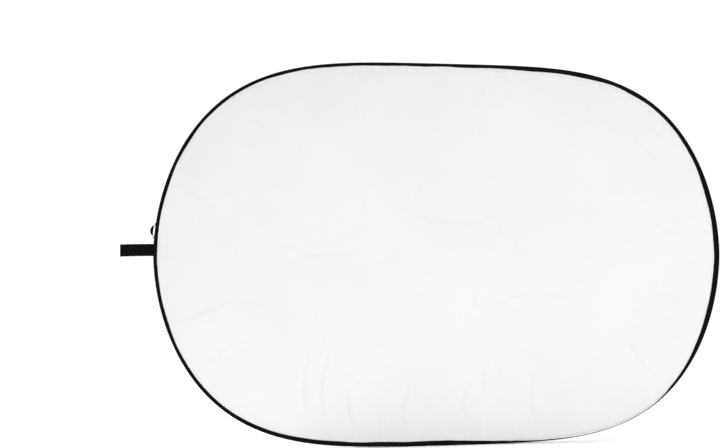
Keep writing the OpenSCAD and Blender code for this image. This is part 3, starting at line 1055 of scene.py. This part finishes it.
def make_face(kind, side, height, material):
    """One face's cloth. Each strip's flat size is the outline's, between its seams."""
    grid, texture, cols, shade_and_highlight = face_grid(side, height)
    name = kind + "_cloth"
    made = strips(name, kind + "_face_", grid, texture, cols, material, (0, side, 0), shade_and_highlight)
    limits = [-HALF_L, *SEAM_X, HALF_L]
    for piece, (tag, _), low, high in zip(made, STRIPS, limits, limits[1:]):
        x = np.linspace(low, high, 400)


def tape_profile():
    """The tape's outer surface as a table: depth, distance from the middle, and length from the wall."""
    wall = SLEEVE_DEPTH / 2
    turn = np.linspace(0, math.pi / 2, 60)
    r = np.concatenate([wall * (1 - np.cos(turn)), np.linspace(wall, 18 * MM, 120)[1:]])
    y = tape_rest(r)
    return r, y, run_along(r, y)


def ferrule_swell(x, z):
    """The edge stands a little thicker over the hoop's ferrule, at the left tip."""
    return 0.09 * smooth_step((68 * MM - np.abs(z)) / (22 * MM)) * (x < 0)


def make_binding(material):
    """The tape round the hoop: its outer surface from lap to lap, and its inner surface back."""
    size = sizes()
    rim = Rim(size.column_step * 0.75, int(size.wing_columns * 1.35))
    table_r, table_y, table_l = tape_profile()
    front, back = (np.interp(depth, table_r, table_l) for depth in lap_edges(rim))
    lengths = {-1: front, 1: back}
    nudge = 0.1 * MM

    def slope(length, table):
        return np.interp(length + nudge, table_l, table) - np.interp(length - nudge, table_l, table)

    def place(side, t, inset):
        """A row of the tape at a share t of its lap, moved in by inset from its outer surface."""
        length = lengths[side] * t
        r, y = np.interp(length, table_l, table_r), np.interp(length, table_l, table_y)
        y = y * (1 + ferrule_swell(rim.x, rim.z) * (r < SLEEVE_DEPTH))
        y = y + pucker(rim.s) * smooth_step((r - SLEEVE_DEPTH) / (2 * MM))
        ahead, up = slope(length, table_r), slope(length, table_y)
        norm = np.hypot(ahead, up) + 1e-12
        at_wall = length < 0.05 * MM
        r = np.where(at_wall, inset, r + inset * up / norm)
        y = np.where(at_wall, 0.0, y - inset * ahead / norm)
        return rim.at(r, side * y), np.stack([rim.s, side * length], axis=1)

    outer = np.linspace(1, 0, 15) ** 0.9
    inner = (0.985, 0.8, 0.55, 0.3, 0.12)
    rows = [(-1, t, 0.0) for t in outer] + [(1, t, 0.0) for t in outer[-2::-1]]
    rows += [(1, t, TAPE_T) for t in (*inner, 0.0)] + [(-1, t, TAPE_T) for t in inner[::-1]]
    rings, texture = zip(*(place(*row) for row in rows))
    grid = np.stack(rings + rings[:1], axis=1)
    uv = np.stack(texture + texture[:1], axis=1)
    strips("binding_tape", "binding_", grid, uv, rim.x, material)


def make_hoop(material):
    """The spring-steel band, on edge inside the sleeve. Its ends meet at the left tip."""
    rim = Rim(6 * MM, 90)
    r0, r1 = BAND_R
    y0, y1 = -BAND_HALF, BAND_HALF
    soft = 0.25 * MM
    ring = [
        (r0 + soft, y0), (r1 - soft, y0), (r1, y0 + soft), (r1, y1 - soft), (r1 - soft, y1),
        (r0 + soft, y1), (r0, y1 - soft), (r0, y0 + soft), (r0 + soft, y0),
    ]
    grid = np.stack([rim.at(r, y) for r, y in ring], axis=1)
    uv = np.stack([np.stack([rim.s, np.full_like(rim.s, i * MM)], axis=1) for i in range(len(ring))], axis=1)
    strips("hoop_band", "hoop_", grid, uv, rim.x, material)


# ---------------------------------------------------------------- stitches and hooks by Geometry Nodes


class Copies(Nodes):
    """A Geometry Nodes tree that sets copies of a small shape on an object's points."""

    def __init__(self, name, lengths, others):
        super().__init__(bpy.data.node_groups.new(name, "GeometryNodeTree"))
        self.socket("Geometry", "Geometry")
        for label, value in lengths.items():
            self.socket(label, "Float", value).subtype = "DISTANCE"
        for label, (kind, value) in others.items():
            self.socket(label, kind, value)
        self.socket("Geometry", "Geometry", way="OUTPUT")
        self.given = self.add("NodeGroupInput").outputs

    def socket(self, label, kind, value=None, way="INPUT"):
        made = self.tree.interface.new_socket(label, in_out=way, socket_type="NodeSocket" + kind)
        if value is not None:
            made.default_value = value
        return made

    def finish(self, copies, material):
        """Makes the copies real, smooth and of one material, and puts them out."""
        real = self.add("GeometryNodeRealizeInstances", {"Geometry": copies})
        smooth = self.add("GeometryNodeSetShadeSmooth", {"Geometry": real})
        paint = self.add("GeometryNodeSetMaterial", {"Geometry": smooth, "Material": material})
        self.add("NodeGroupOutput", {"Geometry": paint})
        return self.tree


@cache
def stitch_tree():
    """A node tree that sets one stitch after another along a line of edges."""
    lengths = {"Pitch": 3.6 * MM, "Length": 2.7 * MM, "Width": 0.55 * MM, "Height": 0.45 * MM}
    others = {"Slant": ("Float", 0.09), "Seed": ("Int", 7), "Thread": ("Material", None)}
    t = Copies("Stitch Row", lengths, others)
    given = t.given
    curve = t.add("GeometryNodeMeshToCurve", {"Mesh": given["Geometry"]})
    spots = t.add("GeometryNodeResampleCurve", {"Curve": curve, "Length": given["Pitch"]}, mode="LENGTH")
    ball = t.add("GeometryNodeMeshUVSphere", {"Segments": 6, "Rings": 5, "Radius": 0.5})
    laid = t.add("GeometryNodeTransform", {"Geometry": ball, "Rotation": (0, math.pi / 2, 0)})
    size = t.add("ShaderNodeCombineXYZ", {"X": given["Length"], "Y": given["Width"], "Z": given["Height"]})
    stitch = t.add("GeometryNodeTransform", {"Geometry": laid, "Scale": size})
    tangent = t.add("GeometryNodeInputTangent")
    along = t.add("FunctionNodeAlignRotationToVector", {"Vector": tangent}, axis="X", pivot_axis="AUTO")
    row = t.add("GeometryNodeInstanceOnPoints", {"Points": spots, "Instance": stitch, "Rotation": along})
    most = t.add("ShaderNodeCombineXYZ", dict.fromkeys("XYZ", given["Slant"]))
    least = t.add("ShaderNodeVectorMath", {0: most, "Scale": -1}, operation="SCALE")
    tilt = t.add("FunctionNodeRandomValue", data_type="FLOAT_VECTOR")
    for key, value in (("Min", least), ("Max", most)):
        t.tree.links.new(value.outputs[0], tilt.inputs[key])
    t.tree.links.new(given["Seed"], tilt.inputs["Seed"])
    slanted = t.add("GeometryNodeRotateInstances", {"Instances": row, "Rotation": tilt})
    return t.finish(slanted, given["Thread"])


@cache
def hook_tree():
    """A node tree that stands a small bent hook on every point."""
    lengths = {"Hook Height": 0.8 * MM, "Hook Reach": 0.45 * MM, "Wire": 0.09 * MM}
    t = Copies("Hook Field", lengths, {"Seed": ("Int", 5), "Plastic": ("Material", None)})
    given = t.given
    height, reach = given["Hook Height"], given["Hook Reach"]
    half = t.add("ShaderNodeMath", {0: height, 1: 0.55}, operation="MULTIPLY")
    more = t.add("ShaderNodeMath", {0: height, 1: 1.9}, operation="MULTIPLY")
    arc = t.add("GeometryNodeCurvePrimitiveBezierSegment", {
        "Resolution": 6,
        "Start": (0, 0, 0),
        "End": t.add("ShaderNodeCombineXYZ", {"X": reach, "Y": half}),
        "Start Handle": t.add("ShaderNodeCombineXYZ", {"Y": more}),
        "End Handle": t.add("ShaderNodeCombineXYZ", {"X": reach, "Y": height}),
    }, mode="POSITION")
    ring = t.add("GeometryNodeCurvePrimitiveCircle", {"Resolution": 5, "Radius": given["Wire"]})
    body = t.add("GeometryNodeCurveToMesh", {"Curve": arc, "Profile Curve": ring, "Fill Caps": True})
    points = t.add("GeometryNodeMeshToPoints", {"Mesh": given["Geometry"]})
    limits = {"Min": (-0.15, -0.15, -0.5), "Max": (0.15, 0.15, 0.5), "Seed": given["Seed"]}
    spin = t.add("FunctionNodeRandomValue", limits, data_type="FLOAT_VECTOR")
    field = t.add("GeometryNodeInstanceOnPoints", {"Points": points, "Instance": body, "Rotation": spin})
    return t.finish(field, given["Plastic"])


def apply_tree(piece, tree, **values):
    """Runs a node tree on an object and leaves its result as the object's plain mesh."""
    modifier = piece.modifiers.new(tree.name, "NODES")
    modifier.node_group = tree
    names = {
        item.name: item.identifier
        for item in tree.interface.items_tree
        if item.item_type == "SOCKET" and item.in_out == "INPUT"
    }
    for key, value in values.items():
        modifier[names[key]] = value
    bpy.context.view_layer.update()
    graph = bpy.context.evaluated_depsgraph_get()
    shown = piece.evaluated_get(graph)
    mesh = bpy.data.meshes.new_from_object(shown, preserve_all_data_layers=True, depsgraph=graph)
    old = piece.data
    piece.modifiers.remove(modifier)
    piece.data = mesh
    mesh.name = piece.name
    bpy.data.meshes.remove(old)
    if not len(mesh.polygons):
        raise RuntimeError(f"{piece.name} came out empty")


def stitch_lines(name, lines, seed, pitch=None, length=None, width=None):
    """One object with a row of stitches along each line of points."""
    size = sizes()
    width = width or size.thread
    corners, edges = [], []
    for line in lines:
        start = len(corners)
        corners += [tuple(p) for p in line]
        edges += [(start + i, start + i + 1) for i in range(len(line) - 1)]
    mesh = bpy.data.meshes.new(name)
    mesh.from_pydata(corners, edges, [])
    piece = add_object(name, mesh)
    apply_tree(
        piece, stitch_tree(), Pitch=pitch or size.pitch, Length=length or size.stitch_l, Width=width,
        Height=width * 0.85, Slant=0.07, Seed=seed, Thread=sewing_thread(),
    )
    return piece


def runs(points, kept):
    """The unbroken runs of kept points, without those too short to sew."""
    ends = np.flatnonzero(np.diff(np.concatenate([[0], kept, [0]])))
    return [points[low:high] for low, high in zip(ends[::2], ends[1::2]) if high - low > 4]


def make_seam():
    """Stitches through the laps: one row closes the sleeve, and a second one holds down a wide lap."""
    rim = Rim(2 * MM, 300)
    drawn = pucker(rim.s)
    lift = sizes().thread * 0.2
    near = 7.4 * MM  # the first row's depth
    rows = []
    for side, lap in zip((-1, 1), lap_edges(rim)):
        first = np.where(lap < near + 1 * MM, near, np.minimum(lap - 1.4 * MM, near + 0.2 * MM))
        on_cloth = lap < near + 0.4 * MM
        y = np.where(on_cloth, cloth_rest(first) + drawn, tape_rest(first) + drawn) + lift
        rows.append((rim.at(first, side * y), np.ones_like(on_cloth)))
        second = lap - 1.9 * MM
        rows.append((rim.at(second, side * (tape_rest(second) + drawn + lift)), second > near + 2.2 * MM))
    limits = [-HALF_L - MM, *SEAM_X, HALF_L + MM]
    for number, (tag, _) in enumerate(STRIPS):
        inside = (rim.x >= limits[number] - 1e-6) & (rim.x <= limits[number + 1] + 1e-6)
        lines = [line for points, kept in rows for line in runs(points, kept & inside)]
        join_strip(stitch_lines("seam_stitches_" + tag, lines, 50 + number), number, "seam_thread_")


# ---------------------------------------------------------------- the strap


STRAP_LOW, STRAP_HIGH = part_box("strap_web")[0].z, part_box("strap_web")[1].z
STRAP_MID = (STRAP_LOW + STRAP_HIGH) / 2
STRAP_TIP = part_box("strap_tip")[0].x
STRAP_HALF_T = 1.15 * MM
FLEX_X = JOINTS["strap_flex"]["pos_m"][0]
FOLD_X = JOINTS["strap_fold"]["pos_m"][0]
ANCHOR_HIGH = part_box("strap_anchor")[1]


def webbing(name, path, thick, material, seed=3):
    """A closed band of webbing along a path in X and Y, with ribs along it.

    path holds points (x, y, z of the middle, share of the thickness there).
    """
    half = (STRAP_HIGH - STRAP_LOW - 0.6 * MM) / 2
    rib = sizes().rib_pitch
    relief_h = 0.16 * MM
    s = run_along(path[:, 0], path[:, 1])
    tangent = np.gradient(path[:, :2], axis=0)
    tangent /= np.hypot(tangent[:, 0], tangent[:, 1])[:, None]
    across = np.linspace(-1, 1, int(2 * half / rib) * 6 + 1)
    edge = np.sqrt(np.clip(1 - np.abs(across) ** 14, 0, 1))
    ribs = 0.5 + 0.5 * np.cos(2 * math.pi * across * half / rib)
    picks = 0.5 + 0.5 * np.cos(2 * math.pi * s / (2.2 * MM))[:, None]
    stagger = np.where((np.floor(across * half / rib + 0.5) % 2) == 0, picks, 1 - picks)
    relief = relief_h * ribs[None, :] * (0.55 + 0.45 * stagger)
    waver = 0.12 * MM * along_waves(s, 0.02, seed)

    def line(sign, i):
        off = sign * ((thick - relief_h) * edge[i] + relief[:, i] * edge[i])
        wide = half + waver * (abs(across[i]) > 0.9)
        x = path[:, 0] - tangent[:, 1] * off * path[:, 3]
        y = path[:, 1] + tangent[:, 0] * off * path[:, 3]
        return np.stack([x, y, path[:, 2] + across[i] * wide], axis=1)

    return closed_piece(name, *round_section(s, across, half, line), material, "webbing")


def strap_lie(x):
    """Offsets in Y and Z of the strap's middle at x: it bows a little and droops towards its tip."""
    t = np.clip((FLEX_X - x) / (FLEX_X - STRAP_TIP), 0, 1)
    return 0.35 * MM * np.sin(2.2 * math.pi * t), -1.2 * MM * t * t


def strap_path(x0, x1):
    """The strap's middle from x0 to x1, thinning to a round edge at its tip."""
    xs = np.linspace(x0, x1, int(abs(x1 - x0) / (0.55 * MM)) + 1)
    y, z = strap_lie(xs)
    return np.stack([xs, y, STRAP_MID + z, rounded((xs - STRAP_TIP) / (1.4 * MM), 0.04)], axis=1)


def root_path():
    """The strap's root: along the front, round the rim and back along the rear, sewn down on both sides."""
    bow_x = -HALF_L - 1.2 * MM
    bow = 3 * MM
    mid = ANCHOR_HIGH.y - 0.7 * MM
    turn = np.linspace(-math.pi / 2, math.pi / 2, 40)
    arm = np.linspace(ANCHOR_HIGH.x, bow_x + bow, 18)[:-1]
    front = np.stack([arm, np.full_like(arm, -mid)], axis=1)
    curve_x = bow_x + bow - bow * np.power(np.clip(np.cos(turn), 0, 1), 0.5)
    curve_y = mid * np.sign(np.sin(turn)) * np.power(np.abs(np.sin(turn)), 0.8)
    line = np.concatenate([front, np.stack([curve_x, curve_y], axis=1), front[::-1] * (1, -1)])
    line = line[np.concatenate([[True], np.hypot(*np.diff(line, axis=0).T) > 0.05 * MM])]
    return np.stack([line[:, 0], line[:, 1], np.full(len(line), STRAP_MID), np.ones(len(line))], axis=1)


def make_strap(material):
    seam = FOLD_X + 9 * MM
    web = webbing("strap_web_webbing", strap_path(-HALF_L - 0.9 * MM, seam), STRAP_HALF_T, material)
    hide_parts("strap_web")
    start, end = (FLEX_X + 1.2 * MM, 0, STRAP_MID), (FLEX_X - 3.5 * MM, 0, STRAP_MID)
    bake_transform(web)
    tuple(start)
    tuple(end)
    tip = webbing("strap_tip_webbing", strap_path(seam, STRAP_TIP + 0.15 * MM), STRAP_HALF_T, material)
    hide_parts("strap_tip")
    start, end = (FOLD_X + 3.6 * MM, 0, STRAP_MID), (FOLD_X - 3.6 * MM, 0, STRAP_MID)
    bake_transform(tip)
    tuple(start)
    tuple(end)
    root = webbing("strap_root_webbing", root_path(), 0.55 * MM, material, seed=5)
    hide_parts("strap_anchor")
    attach(root, "left_end")


def patch_pad(name, node, material, slot_name, body, fill, rough, grain, seed):
    """A soft-edged patch on the back of the strap, as thick as a share fill of its CAD node."""
    low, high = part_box(node)
    rows = 50
    xs, zs = np.linspace(low.x, high.x, 60), np.linspace(low.z, high.z, rows)
    gx, gz = np.meshgrid(xs, zs, indexing="ij")
    edge = np.minimum(np.minimum(gx - low.x, high.x - gx), np.minimum(gz - low.z, high.z - gz))
    dome = rounded(edge / (0.9 * MM))
    lie_y, lie_z = strap_lie(gx)
    top = low.y + lie_y + (high.y - low.y) * fill * dome + rough * waves(gx, gz, grain, seed) * dome
    front = np.stack([gx, top, gz + lie_z], axis=2)
    back = np.stack([gx, low.y + lie_y - 0.25 * MM, gz + lie_z], axis=2)
    grid = np.concatenate([front, back[:, ::-1], front[:, :1]], axis=1)
    uv_z = np.concatenate([zs, zs[::-1], zs[:1]])
    uv = np.stack(np.broadcast_arrays(xs[:, None], uv_z[None, :]), axis=2)
    piece = closed_piece(name, grid, uv, material, slot_name, end_line)
    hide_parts(node)
    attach(piece, body)


def make_patches():
    pile, plastic = loop_pile(), hook_plastic()
    patch_pad("loop_patch_pile", "loop_patch", pile, "loop_pile", "strap", 0.9, 0.09 * MM, 1.6 * MM, 61)
    patch_pad("hook_patch_base", "hook_patch", plastic, "hook_tape", "strap_tip", 0.42, 0.02 * MM, 2 * MM, 62)
    low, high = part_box("hook_patch")
    pitch = sizes().hook_pitch
    edge = 1.3 * MM
    xs = np.linspace(low.x + edge, high.x - edge, int((high.x - low.x - 2 * edge) / pitch))
    zs = np.linspace(low.z + edge, high.z - edge, int((high.z - low.z - 2 * edge) / pitch))
    foot = low.y + (high.y - low.y) * 0.34
    points = []
    for i, x in enumerate(xs):
        y, z = strap_lie(x)
        shift = 0.3 * pitch if i % 2 else 0.0
        points += [(x, foot + float(y), place + shift - 0.15 * pitch + float(z)) for place in zs]
    mesh = bpy.data.meshes.new("hook_patch_hooks")
    mesh.from_pydata(points, [], [])
    hooks = add_object("hook_patch_hooks", mesh)
    apply_tree(hooks, hook_tree(), Seed=9, Plastic=plastic)
    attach(hooks, "strap_tip")


def box_lines(low, high, y, inset=0.0, cross=False):
    """The lines of a box stitch, and of its cross, on the strap."""
    x0, x1, z0, z1 = low.x + inset, high.x - inset, low.z + inset, high.z - inset
    ring = [(x0, z0), (x1, z0), (x1, z1), (x0, z1)]
    ends = list(zip(ring, ring[1:] + ring[:1]))
    if cross:
        ends += [(ring[0], ring[2]), (ring[1], ring[3])]
    lines = []
    for a, b in ends:
        line = []
        for t in np.linspace(0, 1, 12):
            x, z = a[0] + (b[0] - a[0]) * t, a[1] + (b[1] - a[1]) * t
            dy, dz = strap_lie(x)
            line.append((x, y + float(dy), z + float(dz)))
        lines.append(line)
    return lines


def make_strap_stitches():
    """Box stitches round both patches, and dense zigzag bars across the strap's root."""
    patches = (("loop_patch", "strap", 0.9, False, 72), ("hook_patch", "strap_tip", 0.5, True, 71))
    for patch, body, fill, cross, seed in patches:
        node = patch + "_stitching"
        lines = box_lines(*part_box(node), -STRAP_HALF_T - 0.05 * MM, cross=cross)
        low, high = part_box(patch)
        lines += box_lines(low, high, low.y + (high.y - low.y) * fill, 1.2 * MM)
        piece = stitch_lines(node + "_rows", lines, seed, 2.6 * MM, 2.1 * MM, 0.5 * MM)
        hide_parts(node)
        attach(piece, body)
    low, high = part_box("anchor_bar_tack")
    count = 44
    zs = np.linspace(low.z, high.z, count)
    zigzag = np.where(np.arange(count) % 2 == 0, -0.7, 0.7) * MM
    lines = [
        [(x + dx, side * ANCHOR_HIGH.y, z) for dx, z in zip(zigzag, zs)]
        for side in (-1, 1) for x in (low.x + 0.6 * MM, high.x - 0.6 * MM)
    ]
    tack = stitch_lines("anchor_bar_tacks", lines, 73, 0.9 * MM, 1.1 * MM, 0.42 * MM)
    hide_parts("anchor_bar_tack")
    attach(tack, "left_end")


def make_hang_loop(material):
    """The hang loop's tape, from one sewn foot to the other."""
    pivot = Vector(JOINTS["hang_loop_flex"]["pos_m"])
    axis = Vector(JOINTS["hang_loop_flex"]["axis"]).normalized()
    away = Vector((-axis.z, 0, axis.x))
    low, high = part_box("hang_loop_feet")
    half = (high.z - low.z) / 2 - 0.6 * MM
    # one half of the loop's line: out from the rim in mm, and along it from the foot's end
    control = [(-1.05, 0), (-1.05, 3.5), (-0.9, 6.0), (1.4, 8.0), (3.9, 10.8), (5.2, 15.0)]
    control = [(a * MM, -half + b * MM) for a, b in control] + [(5.7 * MM, 0)]
    control += [(a, -b) for a, b in control[-2::-1]]
    line = smooth_path(control, 160)
    half_w, thick = 4 * MM, 0.5 * MM
    t = np.gradient(line, axis=0)
    t /= np.hypot(t[:, 0], t[:, 1])[:, None]
    s = run_along(line[:, 0], line[:, 1])
    # the tape turns over between its feet, so that it shows its flat side
    lean = math.radians(58) * smooth_step(np.minimum(s, s[-1] - s) / (13 * MM) - 0.45)
    flat_way = np.stack([-t[:, 1] * np.sin(lean), np.cos(lean), t[:, 0] * np.sin(lean)], axis=1)
    thin_way = np.stack([-t[:, 1] * np.cos(lean), -np.sin(lean), t[:, 0] * np.cos(lean)], axis=1)
    middle = np.stack([line[:, 0], np.zeros(len(line)), line[:, 1]], axis=1)
    across = np.linspace(-1, 1, 25)

    def tape_line(sign, i):
        u = across[i]
        edge = math.sqrt(max(0.05, 1 - abs(u) ** 10))
        rib = 0.5 + 0.5 * math.cos(u * math.pi * 8)
        return middle + thin_way * sign * thick * edge * (0.8 + 0.2 * rib) + flat_way * u * half_w

    grid, uv = round_section(s, across, half_w, tape_line)
    grid = grid @ np.array([away, (0, 1, 0), axis]) + np.array(pivot)
    piece = closed_piece("hang_loop_tape", grid, uv, material, "binding_tape")
    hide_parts("hang_loop", "hang_loop_feet")
    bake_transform(piece)
    rows = []
    for end in (-1, 1):
        for a in (2.0, 4.6):
            place = pivot + away * (-0.5 * MM) + axis * end * (half - a * MM)
            rows.append([tuple(place + Vector((0, y * MM, 0))) for y in np.linspace(-2.8, 2.8, 9)])
    tack = stitch_lines("hang_loop_tacks", rows, 81, 0.95 * MM, 1.2 * MM, 0.42 * MM)
    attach(tack, "left_end")


# ---------------------------------------------------------------- operators


class REFLECTOR_OT_hoop(bpy.types.Operator):
    """Make the spring-steel hoop and finish its ferrule and sleeve"""

    bl_idname = "reflector.hoop"
    bl_label = "Hoop and Ferrule"

    def execute(self, context):
        make_hoop(spring_steel())
        for node, finish in (("ferrule", zinc), ("ferrule_sleeve", shrink_tube)):
            mesh = frame["nodes"][node].data
            mesh.materials.clear()
            mesh.materials.append(finish(node + "_finish"))
        return {"FINISHED"}


class REFLECTOR_OT_binding(bpy.types.Operator):
    """Make the binding tape folded over the hoop"""

    bl_idname = "reflector.binding"
    bl_label = "Binding Tape"

    def execute(self, context):
        make_binding(binding_tape())
        return {"FINISHED"}


class REFLECTOR_OT_white_face(bpy.types.Operator):
    """Make the white face"""

    bl_idname = "reflector.white_face"
    bl_label = "White Face"

    def execute(self, context):
        make_face("white", -1, white_height, white_cloth())
        return {"FINISHED"}


class REFLECTOR_OT_grey_face(bpy.types.Operator):
    """Make the grey face"""

    bl_idname = "reflector.grey_face"
    bl_label = "Grey Face"

    def execute(self, context):
        make_face("grey", 1, grey_height, grey_cloth())
        return {"FINISHED"}


class REFLECTOR_OT_seam(bpy.types.Operator):
    """Sew the laps with rows of stitches"""

    bl_idname = "reflector.seam"
    bl_label = "Seam Stitches"

    def execute(self, context):
        make_seam()
        return {"FINISHED"}


class REFLECTOR_OT_strap(bpy.types.Operator):
    """Make the closing strap's webbing and its root"""

    bl_idname = "reflector.strap"
    bl_label = "Closing Strap"

    def execute(self, context):
        make_strap(strap_webbing())
        return {"FINISHED"}


class REFLECTOR_OT_patches(bpy.types.Operator):
    """Make the strap's loop patch and hook patch, and their stitches"""

    bl_idname = "reflector.patches"
    bl_label = "Hook and Loop Patches"

    def execute(self, context):
        make_patches()
        make_strap_stitches()
        return {"FINISHED"}


class REFLECTOR_OT_hang_loop(bpy.types.Operator):
    """Make the hang loop and sew it on"""

    bl_idname = "reflector.hang_loop"
    bl_label = "Hang Loop"

    def execute(self, context):
        make_hang_loop(binding_tape())
        return {"FINISHED"}


def area_light(name, place, aim, size, power, spread=180):
    """A soft lamp that the camera doesn't see itself. A small spread keeps its light off the floor."""
    light = bpy.data.lights.new(name, "AREA")
    light.spread = math.radians(spread)
    light.shape = "RECTANGLE"
    light.size, light.size_y = size
    light.energy = power
    lamp = add_object(name, light)
    lamp.location = place
    lamp.visible_camera = False
    lamp.rotation_euler = (Vector(aim) - Vector(place)).to_track_quat("-Z", "Y").to_euler()


class REFLECTOR_OT_stage(bpy.types.Operator):
    """Set up the floor, the lights and the camera"""

    bl_idname = "reflector.stage"
    bl_label = "Floor, Lights and Camera"

    def execute(self, context):
        scene = context.scene
        far = 60.0
        below = -0.4 * MM
        mesh = bpy.data.meshes.new("floor")
        corners = [(-far, -far, below), (far, -far, below), (far, far, below), (-far, far, below)]
        mesh.from_pydata(corners, [], [(0, 1, 2, 3)])
        m = Look("floor_paper", (0.95, 0.95, 0.95), 0.9, Specular_IOR_Level=0.1)
        m.tint(m.noise(m.own(), 2.0, 2.0), 0.3, 0.7, 0.955 / 0.95, start=0.945 / 0.95)
        add_object("floor", mesh, m.material)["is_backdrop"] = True

        # the camera sees a bright background, and the object is lit by a faint one
        scene.world = bpy.data.worlds.new("studio")
        scene.world.use_nodes = True
        w = Nodes(scene.world.node_tree)
        w.tree.nodes.clear()
        seen = w.add("ShaderNodeBackground", {"Color": (1, 1, 1, 1), "Strength": 1.1})
        fill = w.add("ShaderNodeBackground", {"Color": (1, 1, 1, 1), "Strength": 0.06})
        mix = w.add("ShaderNodeMixShader", {0: w.add("ShaderNodeLightPath"), 1: fill, 2: seen})
        w.add("ShaderNodeOutputWorld", {"Surface": mix})

        area_light("key_front", (4.2, -4.0, 0.45), (-0.1, 0, 0.25), (1.5, 1.5), 20, 60)
        area_light("fill_front", (-3.4, -4.4, 2.2), (-0.1, 0, 0.7), (2.4, 2.0), 55)
        area_light("key_back", (-4.3, 2.5, 1.9), (0.1, 0.1, 0.6), (0.9, 0.9), 27, 50)
        area_light("fill_back", (-3.0, 4.6, 1.2), (0, 0, 0.5), (2.4, 2.4), 20)
        sky = bpy.data.lights.new("sky", "SUN")
        sky.energy = 3.25
        sky.angle = math.radians(30)
        add_object("sky", sky)

        lens = bpy.data.cameras.new("camera")
        lens.lens = 50
        lens.sensor_width = 36
        camera = add_object("camera", lens)
        yaw, pitch, roll = math.radians(7.9), math.radians(-1.62), math.radians(-0.1)
        # the disc's middle seen from the camera: to the right, ahead and below
        offset = Vector((0.2270, 2.5977, -0.0764))
        turn = Matrix.Rotation(pitch, 3, "X") @ Matrix.Rotation(yaw, 3, "Z") @ Matrix.Rotation(roll, 3, "Y")
        back = turn.transposed()
        place = Vector((0, 0, HALF_H)) - back @ offset
        axes = Matrix([back @ Vector(way) for way in ((1, 0, 0), (0, 0, 1), (0, -1, 0))]).transposed()
        camera.matrix_world = Matrix.Translation(place) @ axes.to_4x4()
        scene.camera = camera
        scene.view_settings.view_transform = "Standard"
        return {"FINISHED"}


class REFLECTOR_PT_panel(bpy.types.Panel):
    """The reflector's pieces and sizes"""

    bl_label = "Reflector Disc"
    bl_idname = "REFLECTOR_PT_panel"
    bl_space_type = "VIEW_3D"
    bl_region_type = "UI"
    bl_category = "Reflector"

    def draw(self, context):
        layout = self.layout
        for group in (context.scene.reflector_sizes, context.scene.reflector_colours):
            box = layout.box()
            for name in group.__annotations__:
                box.prop(group, name)
        column = layout.column(align=True)
        for operator in OPERATORS:
            column.operator(operator.bl_idname)


OPERATORS = (
    REFLECTOR_OT_hoop,
    REFLECTOR_OT_binding,
    REFLECTOR_OT_white_face,
    REFLECTOR_OT_grey_face,
    REFLECTOR_OT_seam,
    REFLECTOR_OT_strap,
    REFLECTOR_OT_patches,
    REFLECTOR_OT_hang_loop,
    REFLECTOR_OT_stage,
)
CLASSES = (ReflectorSizes, ReflectorColours, *OPERATORS, REFLECTOR_PT_panel)


def register():
    for cls in CLASSES:
        bpy.utils.register_class(cls)
    bpy.types.Scene.reflector_sizes = PointerProperty(type=ReflectorSizes)
    bpy.types.Scene.reflector_colours = PointerProperty(type=ReflectorColours)


def unregister():
    del bpy.types.Scene.reflector_colours
    del bpy.types.Scene.reflector_sizes
    for cls in reversed(CLASSES):
        bpy.utils.unregister_class(cls)


def main():
    register()
    for operator in OPERATORS:
        group, name = operator.bl_idname.split(".")
        if getattr(getattr(bpy.ops, group), name)() != {"FINISHED"}:
            raise RuntimeError(f"{operator.bl_label} didn't finish")
    boxes = {"cad": CAD_BOX, "visual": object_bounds()}
    plain = {name: [list(map(float, corner)) for corner in box] for name, box in boxes.items()}


if __name__ == "__main__":
    main()
